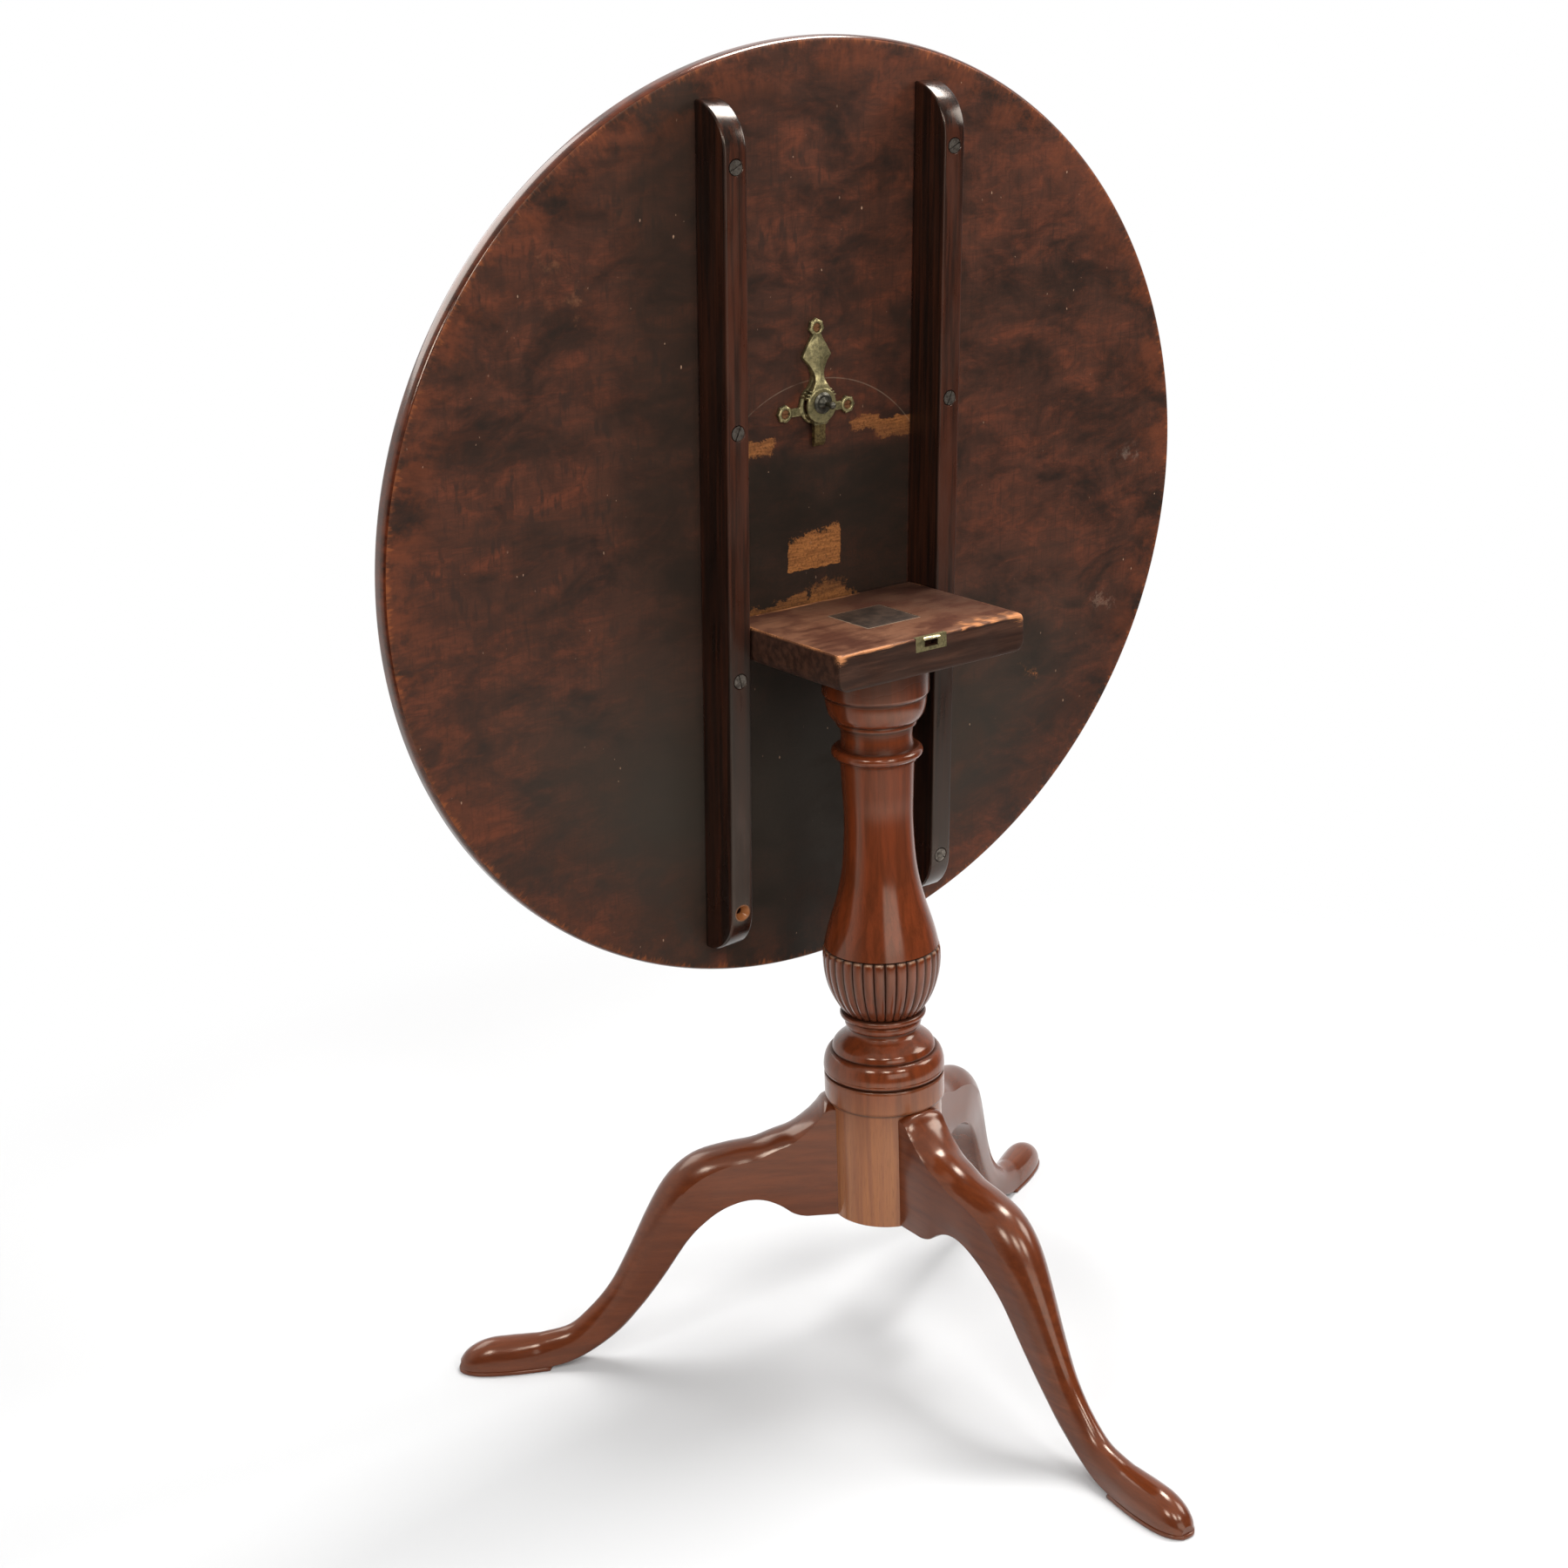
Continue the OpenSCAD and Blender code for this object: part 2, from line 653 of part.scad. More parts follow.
oval_points = 96;
function oval(inset) =
    [for (k = [0:oval_points - 1]) let (a = 360 * k / oval_points)
        [(top_along / 2 - inset) * cos(a), (top_across / 2 - inset) * sin(a)]];
rim = [[0, rim_under], [0.14, 0.3 * rim_under], [0.33, 0], [0.62, 0], [0.86, 0.3 * rim_over],
    [1, rim_over]];

// Stations of the bearer screws from the hinge axis, and which of them are left
bearer_far = top_centre + bearer_len / 2;
screw_out = [for (k = [0:3]) bearer_far - screw_end - k * screw_pitch];
screws_left = [0, 1, 2];
screws_right = [0, 1, 2, 3];

module table_top() {
    color("#5a2413")
        tilted()
            difference() {
                translate([0, -top_centre, hinge_drop])
                    tube_solid([for (p = rim) [for (q = oval(p[1])) [q[0], q[1], p[0] * top_thick]]]);
                for (s = [-1, 1], out = screw_out)
                    under(s * bearer_x, out)
                        translate([0, 0, -screw_bite - 0.5])
                            cylinder(r = screw_shank / 2 + wood_gap, h = screw_bite + 1, $fn = 32);
                catch_spots()
                    translate([0, 0, -9.5])
                        cylinder(r = small_shank / 2 + wood_gap, h = 10, $fn = 24);
            }
}

module bearer_side() {
    half = bearer_len / 2;
    r = bearer_deep;
    polygon(concat(
        [for (k = [0:16]) let (a = 90 * k / 16) [half - r + r * cos(a), r * sin(a)]],
        [for (k = [0:16]) let (a = 90 + 90 * k / 16) [r - half + r * cos(a), r * sin(a)]]));
}

module bearer(s) {
    color("#2a1812")
        tilted()
            difference() {
                under(s * bearer_x - bearer_thick / 2, top_centre)
                    rotate([90, 0, 90])
                        linear_extrude(bearer_thick)
                            bearer_side();
                translate([s * (block_w / 2 + bearer_gap - eps), 0, 0])
                    rotate([0, s * 90, 0])
                        cylinder(r = pintle_d / 2 + turn_fit, h = pintle_in + 1, $fn = 64);
                for (out = screw_out)
                    under(s * bearer_x, out)
                        screw_solid(wood_gap);
            }
}

// A countersunk wood screw through a bearer, with room around it when it is a hole
module screw_solid(gap) {
    head_h = (screw_head - screw_shank) / 2;
    union() {
        translate([0, 0, -screw_bite])
            cylinder(r = screw_shank / 2 + gap, h = screw_bite + bearer_deep, $fn = 32);
        translate([0, 0, bearer_deep - 0.6 - head_h])
            cylinder(r1 = screw_shank / 2 + gap, r2 = screw_head / 2 + gap, h = head_h, $fn = 48);
        translate([0, 0, bearer_deep - 0.6 - eps])
            cylinder(r = screw_head / 2 + gap, h = (gap > 0 ? 2 : 0.5) + eps, $fn = 48);
    }
}

module bearer_screws(s, which) {
    color("#6d6257")
        tilted()
            for (i = which)
                under(s * bearer_x, screw_out[i])
                    difference() {
                        screw_solid(0);
                        translate([0, 0, bearer_deep - 1.5])
                            rotate([0, 0, 25 + 40 * i])
                                slot(screw_head, 3);
                    }
}

// Places of the three lugs of the catch
module catch_spots() {
    for (p = [[0, lug_far], [-lug_side, -lug_near], [lug_side, -lug_near]])
        under(-catch_left + p[0], drum_out + p[1])
            children();
}

// Plan of the shield and its neck: shoulders, and concave sides down to the drum
module shield_plan() {
    polygon([[-3, shield_far + 4], [-shield_half, shield_wide + 2], [-shield_half + 1, shield_wide],
        [-7.5, shield_wide - 7], [-neck_half, shield_wide - 15], [-neck_half - 1.5, drum_r + 4],
        [-10, drum_r - 2], [10, drum_r - 2], [neck_half + 1.5, drum_r + 4],
        [neck_half, shield_wide - 15], [7.5, shield_wide - 7], [shield_half - 1, shield_wide],
        [shield_half, shield_wide + 2], [3, shield_far + 4]]);
}

module shield() {
    intersection() {
        linear_extrude(shield_thick + 1)
            shield_plan();
        rotate([-90, 0, 0])
            mirror([0, 1, 0])
                linear_extrude(shield_far + 10)
                    polygon([[-2 * shield_half, 0], [-2 * shield_half, 1], [-shield_half, shield_thick - 2],
                        [0, shield_thick], [shield_half, shield_thick - 2], [2 * shield_half, 1],
                        [2 * shield_half, 0]]);
    }
}

module drum_outside() {
    rotate_extrude($fn = 96)
        polygon([[0, 0], [drum_r + 2, 0], [drum_r + 2, 2.4], [drum_r + 1.2, 3.2], [drum_r, 3.6],
            [drum_r, drum_h - 1], [drum_r - 1, drum_h], [0, drum_h]]);
}

bolt_tip = drum_out - block_reach + bolt_throw;
bolt_tail = 3;        // bolt beyond its knob

module catch_case() {
    color("#8c845c")
        tilted()
            union() {
                under(-catch_left, drum_out)
                    difference() {
                        union() {
                            drum_outside();
                            shield();
                            translate([0, lug_far, 0])
                                lug(90);
                            for (s = [-1, 1])
                                lug_arm(s);
                        }
                        translate([0, 0, -1])
                            cylinder(r = drum_r - drum_wall, h = drum_h - drum_wall + 1, $fn = 96);
                        translate([-bolt_w / 2 - slide_gap, -drum_r - 5, bolt_low - slide_gap])
                            cube([bolt_w + 2 * slide_gap, drum_r, bolt_thick + 2 * slide_gap]);
                        knob_slot();
                        lug_holes();
                    }
            }
}

module lug(facing) {
    union() {
        cylinder(r = lug_r, h = lug_thick, $fn = 48);
        for (k = [-2:2])
            rotate([0, 0, facing + 50 * k])
                translate([lug_r + 1, 0, 0])
                    cylinder(r = bead_r, h = lug_thick, $fn = 32);
        for (k = [-2:2])
            rotate([0, 0, facing + 50 * k])
                translate([lug_r + 1, 0, lug_thick])
                    sphere(r = bead_r, $fn = 24);
    }
}

module lug_arm(s) {
    translate([s * lug_side, -lug_near, 0])
        lug(s > 0 ? 0 : 180);
    translate([s > 0 ? drum_r : -lug_side, -lug_near - 3.5, 0])
        cube([lug_side - drum_r, 7, lug_thick]);
}

module knob_slot() {
    translate([0, knob_rest, drum_h - drum_wall - 1])
        linear_extrude(drum_wall + 2)
            union() {
                circle(r = stem_r + slide_gap, $fn = 32);
                translate([0, bolt_travel])
                    circle(r = stem_r + slide_gap, $fn = 32);
                translate([-stem_r - slide_gap, 0])
                    square([2 * (stem_r + slide_gap), bolt_travel]);
            }
}

module lug_holes() {
    for (p = [[0, lug_far], [-lug_side, -lug_near], [lug_side, -lug_near]])
        translate([p[0], p[1], 0]) {
            translate([0, 0, -1])
                cylinder(r = small_shank / 2 + wood_gap, h = lug_thick + 2, $fn = 24);
            translate([0, 0, lug_thick - 1.8])
                cylinder(r1 = small_shank / 2 + wood_gap, r2 = small_head / 2 + wood_gap, h = 1.8 + eps,
                    $fn = 32);
        }
}

module catch_screws() {
    color("#9b6a45")
        tilted()
            catch_spots()
                difference() {
                    union() {
                        translate([0, 0, -9])
                            cylinder(r = small_shank / 2, h = 9 + lug_thick - 1.8 + eps, $fn = 24);
                        translate([0, 0, lug_thick - 1.8])
                            cylinder(r1 = small_shank / 2, r2 = small_head / 2, h = 1.8, $fn = 32);
                        translate([0, 0, lug_thick - eps])
                            cylinder(r = small_head / 2, h = 0.6, $fn = 32);
                    }
                    translate([0, 0, lug_thick - 0.4])
                        slot(small_head, 3);
                }
}

// Bolt with a bevelled nose, its knob and the washer that hides the slot
module catch_bolt() {
    color("#6f6b5e")
        tilted()
            under(-catch_left, drum_out)
                difference() {
                    translate([-bolt_w / 2, 0, bolt_low])
                        rotate([90, 0, 90])
                            linear_extrude(bolt_w)
                                polygon([[knob_rest + bolt_tail, 0], [knob_rest + bolt_tail, bolt_thick],
                                    [3.5 - bolt_tip, bolt_thick], [-bolt_tip, bolt_thick / 3],
                                    [-bolt_tip, 0]]);
                    translate([0, knob_rest, bolt_low - 1])
                        cylinder(r = stem_r + 0.05, h = bolt_thick + 2, $fn = 32);
                }
}

module catch_knob() {
    color("#34332f")
        tilted()
            under(-catch_left, drum_out)
                translate([0, knob_rest, 0])
                    union() {
                        translate([0, 0, bolt_low])
                            cylinder(r = stem_r, h = drum_h + ball_out - bolt_low, $fn = 32);
                        translate([0, 0, drum_h + slide_gap + washer_thick])
                            cylinder(r1 = 5, r2 = stem_r, h = 3.5, $fn = 48);
                        translate([0, 0, drum_h + ball_out])
                            sphere(r = ball_r, $fn = 48);
                    }
}

module catch_washer() {
    color("#3a3934")
        tilted()
            under(-catch_left, drum_out)
                translate([0, knob_rest, drum_h + slide_gap])
                    difference() {
                        rotate_extrude($fn = 64)
                            polygon([[0, 0], [washer_r, 0], [washer_r, 0.8], [washer_r - 2, washer_thick],
                                [0, washer_thick]]);
                        translate([0, 0, -1])
                            cylinder(r = stem_r + 0.05, h = washer_thick + 2, $fn = 32);
                    }
}

// Bowed leaf spring between the bolt's tail and the far wall of the drum
spring_thick = 0.5;
module catch_spring() {
    half = 6;
    near = knob_rest + bolt_tail + 0.1;
    far = sqrt(pow(drum_r - drum_wall, 2) - half * half) - 0.1;
    rise = far - near;
    r = (half * half + rise * rise) / (2 * rise);
    color("#55504a")
        tilted()
            under(-catch_left, drum_out)
                translate([0, near, bolt_low + 0.5])
                    linear_extrude(bolt_thick - 1)
                        intersection() {
                            translate([0, r])
                                difference() {
                                    circle(r = r, $fn = 96);
                                    circle(r = r - spring_thick, $fn = 96);
                                }
                            translate([-half, -1])
                                square([2 * half, rise + 1]);
                        }
}

table_top();
bearer(-1);  // bearer_left
bearer(1);  // bearer_right
bearer_screws(-1, screws_left);  // bearer_screws_left
bearer_screws(1, screws_right);  // bearer_screws_right
block();
pillar();
leg(leg_turn[0]);  // leg_front
leg(leg_turn[1]);  // leg_left
leg(leg_turn[2]);  // leg_right
leg_strap();
strap_screws();
catch_case();
catch_bolt();
catch_knob();
catch_washer();
catch_spring();
catch_screws();
keep_plate();
keep_pins();
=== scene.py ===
"""Looks of a tilt-top tripod table in old mahogany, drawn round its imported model.

Pieces of the stand are drawn from the pillar's axis, which is PILLAR behind the
origin. Pieces that turn with the top are drawn as it lies flat, from the hinge axis:
X along the hinge, -Y out towards the catch, Z up. TILT stands them up.
"""

import math

import bmesh
import bpy
import numpy as np
from mathutils import Matrix, Vector, noise


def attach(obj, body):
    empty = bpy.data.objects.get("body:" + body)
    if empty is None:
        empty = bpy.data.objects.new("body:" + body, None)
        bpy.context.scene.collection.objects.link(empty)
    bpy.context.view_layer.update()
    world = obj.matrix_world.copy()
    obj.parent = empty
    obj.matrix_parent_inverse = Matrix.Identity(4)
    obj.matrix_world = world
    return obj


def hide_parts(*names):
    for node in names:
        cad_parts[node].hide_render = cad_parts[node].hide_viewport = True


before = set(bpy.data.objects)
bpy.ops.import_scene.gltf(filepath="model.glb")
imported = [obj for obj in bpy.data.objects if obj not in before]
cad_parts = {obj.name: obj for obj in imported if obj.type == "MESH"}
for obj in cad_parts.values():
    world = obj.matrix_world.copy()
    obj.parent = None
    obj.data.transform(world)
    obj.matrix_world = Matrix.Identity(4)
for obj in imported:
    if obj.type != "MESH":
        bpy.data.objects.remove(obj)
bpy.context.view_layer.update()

MM = 0.001

# Places of the pillar, hinge and legs, in millimetres and degrees. The hinge axis is
# HINGE_BACK behind the pillar's
PILLAR = 90.0689
HINGE_BACK = 70.4
HINGE_Z = 675.5
TILT_ANGLE = 87.1
STAND_TURN = -1.1
LEG_TURN = {"front": -90.0, "left": 149.4, "right": 30.7}

# Top: half its size along and across the grain, and its middle from the hinge axis out.
# The edge is rounded over these depths on the underside and the upper face
TOP_HALF = (413.0, 400.5)
TOP_THICK = 19.0
TOP_CENTRE = 74.3
UNDERSIDE = 9.0
RIM_UNDER = 4.0
RIM_OVER = 7.0

# Bearers and their screws, with stations from the hinge axis out
BEARER_LEN = 719.0
BEARER_DEEP = 40.6
BEARER_THICK = 21.4
BEARER_X = 109.8
SCREW_OUT = [384.8, 175.8, -33.2, -242.2]
SCREW_HEAD = 6.4
EMPTY_HOLE = 3
# Radius and height in each screw's hole. The bearer's outer face is at HOLE_FACE
HOLE_FACE = 13.0
SUNK = [(0.01, 8.0), (SCREW_HEAD, 8.0), (SCREW_HEAD, 12.2), (7.4, 13.6), (7.4, 20), (0.01, 20)]
EMPTY = [(0.01, -14), (2.8, -14), (2.8, 7), (3.4, 8), (5.6, 11.5), (7.2, 13.5), (7.2, 20),
         (0.01, 20)]
PIN_HOLE = [(0.01, -1), (7.1, -1), (7.1, 15), (0.01, 15)]

# Block
BLOCK_W = 193.4
BLOCK_TOP = 684.4
BLOCK_THICK = 31.5
BLOCK_FRONT = 78.8
BLOCK_CORNER = 9.0
TENON_W = 56.0
KEEP_X = -3.0
KEEP_W = 32.0
KEEP_H = 12.0
# The keep's mouth from the block's top down, half its width, and the roll over it
MOUTH = (2.6, 9.4)
MOUTH_HALF = 7.5
LIP_R = 2.4
# Pintle: radius and distance out from the block's end
PINTLE = [(6.0, -6), (6.6, 0), (7.0, 1), (7.0, 15.5), (6.4, 16.2), (0.5, 16.4)]

# Pillar, heights of its mouldings
Z_FOOT = 140.9
Z_BAND = 248.9
Z_TORUS = 271.4
Z_BELL = 293.9
Z_WAIST = 311.4
Z_BULB = 331.4
Z_SHAFT = 391.4
Z_ASTRAGAL = 562.9
Z_NECK = 572.4
Z_CUP = 592.9
Z_COLLAR = 620.4
Z_BLOCK = BLOCK_TOP - BLOCK_THICK
STUMP_R = 50.3
BAND_R = 53.0
BELL_R = 46.0
WAIST_R = 30.5
SHAFT_R = 29.8
BULB_R = 51.5
COLLAR_R = 45.6
CUP_R = 34.8
ASTRAGAL_R = 39.2
REEDS = 32
REED_DEEP = 2.3
# The bulb is part of an ellipse of this half height, widest so far under the reeds' top
BULB_HALF = 66.8
BULB_BELOW = 11
# Bell: share of its height, and share of the way out from the waist
BELL = [[0, 1], [0.12, 0.975], [0.3, 0.89], [0.45, 0.74], [0.6, 0.53], [0.75, 0.3], [0.88, 0.11],
        [1, 0]]
# Shaft: share of its height, and millimetres out from SHAFT_R
SHAFT = [[0, 20.2], [0.1, 16.2], [0.27, 7.7], [0.44, 2.2], [0.67, 0], [0.84, 0.8], [1, 2]]
# Ends of the reeds' round noses: above their straight part, and back from the bulb
NOSES = ((1.0, 0.12), (1.8, 0.5), (2.4, 1.1), (2.8, 2.2))
NOSE_LONG = 3.0
# Quirks between mouldings, painted darker for the shade in them and for the dirt and old wax that
# sit there
QUIRKS = [Z_BAND - 0.3, Z_TORUS + 0.7, Z_TORUS + 2.2, Z_BELL + 0.5, Z_WAIST + 4, Z_WAIST + 13,
          Z_BULB - 1, Z_ASTRAGAL - 1, Z_NECK + 0.5, Z_CUP - 1.5, Z_CUP + 3.4, Z_COLLAR - 2.4,
          Z_BLOCK - 0.4]

# Legs, which sink LEG_SUNK into their pads
LEG_REACH = 392.5
LEG_THICK = 41.0
LEG_SUNK = 0.6
PAD_H = 4.0
PAD_LIP = 0.9
# Pad, from the floor up: how far it grows, and its height
PAD_RINGS = ((-1.2, 0.0), (-0.2, 0.5), (0.0, 1.2), (0.0, PAD_H - 1.1), (-0.4, PAD_H - 0.4),
             (-1.3, PAD_H))

# Catch, from the middle of its drum
DRUM_OUT = 179.0
DRUM_X = -3.0
DRUM_R = 15.0
DRUM_H = 11.3
DRUM_WALL = 1.6

TILT = (Matrix.Translation(Vector((0, PILLAR + HINGE_BACK, HINGE_Z)) * MM)
        @ Matrix.Rotation(math.radians(-TILT_ANGLE), 4, "X"))
STAND = Matrix.Translation(Vector((0, PILLAR, 0)) * MM)


# Meshes

def piece(name, points, faces, place, materials, material_of=None, sharp=35.0):
    """A new object from points in millimetres, smooth except where faces meet sharply."""
    mesh = bpy.data.meshes.new(name)
    mesh.from_pydata([Vector(p) * MM for p in points], [], faces)
    for material in materials:
        mesh.materials.append(material)
    if material_of:
        mesh.polygons.foreach_set("material_index", [material_of(f) for f in mesh.polygons])
    mesh.validate()
    smooth(mesh, sharp)
    thing = bpy.data.objects.new(name, mesh)
    bpy.context.scene.collection.objects.link(thing)
    thing.matrix_world = place
    return thing


def smooth(mesh, sharp):
    mesh.shade_smooth()
    mesh.set_sharp_from_angle(angle=math.radians(sharp))


def settle(thing, sharp=35.0):
    """Applies the modifiers of a new object to its mesh."""
    bpy.context.view_layer.update()
    graph = bpy.context.evaluated_depsgraph_get()
    mesh = bpy.data.meshes.new_from_object(thing.evaluated_get(graph), depsgraph=graph)
    thing.modifiers.clear()
    old = thing.data
    thing.data = mesh
    bpy.data.meshes.remove(old)
    smooth(mesh, sharp)


def change(thing, kind, **settings):
    """Adds a modifier with its settings."""
    modifier = thing.modifiers.new(kind.title(), kind)
    for name, value in settings.items():
        setattr(modifier, name, value)


def cut(thing, tools, operation="DIFFERENCE"):
    """Cuts the tools out of a thing, or joins them to it, and removes them."""
    for tool in tools:
        change(thing, "BOOLEAN", operation=operation, object=tool, solver="EXACT")
    settle(thing)
    for tool in tools:
        bpy.data.objects.remove(tool)


def tube(rings):
    """Points and faces of a closed skin over rings of equally many points."""
    count = len(rings[0])
    points = [p for ring in rings for p in ring]
    faces = []
    for i in range(len(rings) - 1):
        for k in range(count):
            a, b = i * count + k, i * count + (k + 1) % count
            faces.append((a, b, b + count, a + count))
    faces.append(tuple(reversed(range(count))))
    faces.append(tuple((len(rings) - 1) * count + k for k in range(count)))
    return points, faces


def turned(profile, count=96):
    """Rings of a turned shape from its profile of (radius, height)."""
    return [[(r * math.cos(2 * math.pi * k / count), r * math.sin(2 * math.pi * k / count), z)
             for k in range(count)] for r, z in profile]


def slab(low, high):
    """Points and faces of a box."""
    (x0, y0, z0), (x1, y1, z1) = low, high
    points = [(x, y, z) for z in (z0, z1) for x, y in ((x0, y0), (x1, y0), (x1, y1), (x0, y1))]
    faces = [(3, 2, 1, 0), (4, 5, 6, 7), (0, 1, 5, 4), (1, 2, 6, 5), (2, 3, 7, 6), (3, 0, 4, 7)]
    return points, faces


def outward(points, faces):
    """The faces of a closed skin, each turned to face outward."""
    mesh = bmesh.new()
    corners = [mesh.verts.new(p) for p in points]
    made = [mesh.faces.new([corners[i] for i in face]) for face in faces]
    bmesh.ops.recalc_face_normals(mesh, faces=made)
    mesh.verts.index_update()
    turned_faces = [tuple(v.index for v in face.verts) for face in made]
    mesh.free()
    return turned_faces


def curve(rows, steps):
    """Rows of numbers with a smooth curve drawn through each column."""
    rows = np.array(rows, float)
    out = []
    for i in range(len(rows) - 1):
        p0, p1, p2, p3 = (rows[min(max(j, 0), len(rows) - 1)] for j in range(i - 1, i + 3))
        for k in range(steps):
            t = k / steps
            out.append(0.5 * (2 * p1 + t * (p2 - p0) + t * t * (2 * p0 - 5 * p1 + 4 * p2 - p3)
                              + t ** 3 * (3 * p1 - p0 - 3 * p2 + p3)))
    out.append(rows[-1])
    return out


def mix(a, b, t):
    return a + (b - a) * t


def held(value):
    """Holds a value within 0 and 1."""
    return max(0.0, min(1.0, value))


def arc(steps, turn=math.pi / 2):
    """Angles from 0 to turn in equal steps."""
    return [turn * k / steps for k in range(steps + 1)]


# Materials

def srgb(code):
    """Linear colour of a hex code."""
    parts = [int(code[i:i + 2], 16) / 255 for i in (0, 2, 4)]
    return [c / 12.92 if c <= 0.04045 else ((c + 0.055) / 1.055) ** 2.4 for c in parts] + [1.0]


def add(tree, kind, *inputs, out=None, **settings):
    """Adds a node with its settings, fills its inputs in order and gives its output."""
    node = tree.nodes.new("ShaderNode" + kind)
    for name, value in settings.items():
        setattr(node, name, value)
    for socket, value in zip([s for s in node.inputs if s.enabled], inputs):
        if isinstance(value, bpy.types.NodeSocket):
            tree.links.new(value, socket)
        elif value is not None:
            socket.default_value = value
    return node.outputs[out] if out else next(s for s in node.outputs if s.enabled)


def finish(name, **sockets):
    """A material of one surface shader. Its constant values are set on its sockets."""
    material = bpy.data.materials.new(name)
    material.use_nodes = True
    shader = material.node_tree.nodes["Principled BSDF"]
    for key, value in sockets.items():
        shader.inputs[key.replace("_", " ")].default_value = value
    return material, material.node_tree, shader


def cells(tree, x, y, z, shift=0.0):
    """The piece's own place, counted in cells of x by y by z millimetres."""
    place = add(tree, "TexCoord", out="Object")
    return add(tree, "Mapping", place, (shift, shift, shift), None,
               (1000 / x, 1000 / y, 1000 / z))


def axes(tree):
    """The piece's own place in millimetres, as three numbers."""
    place = cells(tree, 1, 1, 1)
    split = add(tree, "SeparateXYZ", place).node
    return split.outputs[0], split.outputs[1], split.outputs[2]


def layered(tree, tone, *layers):
    """Lays colours over a tone, one after another. A layer is its mask's terms, then its
    colour."""
    for *terms, over in layers:
        under, over = (srgb(c) if isinstance(c, str) else c for c in (tone, over))
        tone = add(tree, "Mix", where(tree, *terms), under, over, data_type="RGBA")
    return tone


def where(tree, *terms):
    """A mask, the product of its terms. Each term is a mask or a share, or a value with the
    low and high between which it runs smoothly from 0 to 1, or from a bottom to a top."""
    product = None
    for term in terms:
        if isinstance(term, tuple):
            term = add(tree, "MapRange", *(term + (0.0, 1.0))[:5],
                       interpolation_type="SMOOTHSTEP")
        product = term if product is None else add(tree, "Math", product, term,
                                                   operation="MULTIPLY")
    return product


def length(tree, first, second):
    """Length of a line that goes first one way and second across it."""
    squares = (add(tree, "Math", way, way, operation="MULTIPLY") for way in (first, second))
    return add(tree, "Math", add(tree, "Math", *squares, operation="ADD"), operation="SQRT")


def patch(tree, x, y, box, soft, ragged):
    """Terms of a mask for a rectangular patch of wear with a soft and ragged edge."""
    shake = add(tree, "TexNoise", cells(tree, 7, 7, 7, 3.0), 1.0, 4.0, 0.7)
    shake = add(tree, "MapRange", shake, 0.3, 0.7, -ragged, ragged)
    x, y = (add(tree, "Math", way, shake, operation="ADD") for way in (x, y))
    (x0, x1), (y0, y1) = box
    return ((x, x0 - soft, x0 + soft), (x, x1 + soft, x1 - soft),
            (y, y0 - soft, y0 + soft), (y, y1 + soft, y1 - soft))


def lay(tree, shader, tone, gloss, height, strength, depth):
    """Gives a shader its colour, its roughness where that varies, and fine relief, whose
    depth is in millimetres."""
    bump = add(tree, "Bump", strength, depth * MM)
    tree.links.new(height, bump.node.inputs["Height"])
    tree.links.new(bump, shader.inputs["Normal"])
    tree.links.new(tone, shader.inputs["Base Color"])
    if gloss is not None:
        tree.links.new(gloss, shader.inputs["Roughness"])


def polished_mahogany(name, grain, light, deep, turn=0.0, foot=None):
    """Old mahogany under French polish: a clear, warm brown with soft darker streaks along
    the grain, short fine pores, and a gloss that wears a little uneven. grain is the
    length of a streak along each axis, in millimetres, and foot the light and deep colours
    below the bell, which are paler: partly the wood's own tone, partly painted light and
    sheen. A mesh's own attributes paint a highlight pale on the reeds' noses, and paint
    shade dark in the quirks and between the reeds, with the old wax that sits there."""
    material, tree, shader = finish(name, Roughness=0.18, IOR=1.5, Specular_IOR_Level=0.6,
                                    Specular_Tint=srgb(AMBER))
    streak = add(tree, "TexNoise", cells(tree, *grain, turn), 1.0, 4.0, 0.6, 2.1, 0.4)
    cloud = add(tree, "TexNoise", cells(tree, 60, 60, 80, turn), 1.0, 3.0, 0.5)
    # Pores are 0.2 mm wide and drawn three times as wide to show
    pore = cells(tree, *(g * PORE_SHARE for g in grain), turn)
    pores = add(tree, "TexNoise", pore, 1.0, 2.0, 0.7)
    # Below the bell the colours turn paler: partly the wood's own tone, partly painted light and
    # sheen
    if foot:
        low = (axes(tree)[2], Z_BELL, Z_FOOT + 60)
        light, deep = layered(tree, light, (low, foot[0])), layered(tree, deep, (low, foot[1]))
    # Attributes of the mesh: a highlight painted pale on the reeds' noses, and shade painted dark,
    # with old wax, in quirks and between reeds
    rubbed_and_highlight = add(tree, "Attribute", attribute_name="rubbed_and_highlight", out="Fac")
    shade_and_dirt = add(tree, "Attribute", attribute_name="shade_and_dirt", out="Fac")
    tone = layered(tree, deep, ((streak, 0.3, 0.72), light), ((cloud, 0.4, 0.75, 0.0, 0.4), deep),
                   ((pores, 0.52, 0.72, 0.0, 0.25), "331a0e"), (rubbed_and_highlight, "b98f70"),
                   (shade_and_dirt, "150a06"))
    gloss = add(tree, "Math", where(tree, (cloud, 0.3, 0.75, 0.14, 0.24)),
                where(tree, shade_and_dirt, 0.3), operation="ADD")
    lay(tree, shader, tone, gloss, pores, 0.15, 0.12)
    return material


# A pore's length as a share of a streak's
PORE_SHARE = 0.1
# Old shellac and wax are amber, and warm what they reflect
AMBER = "f7e2ce"


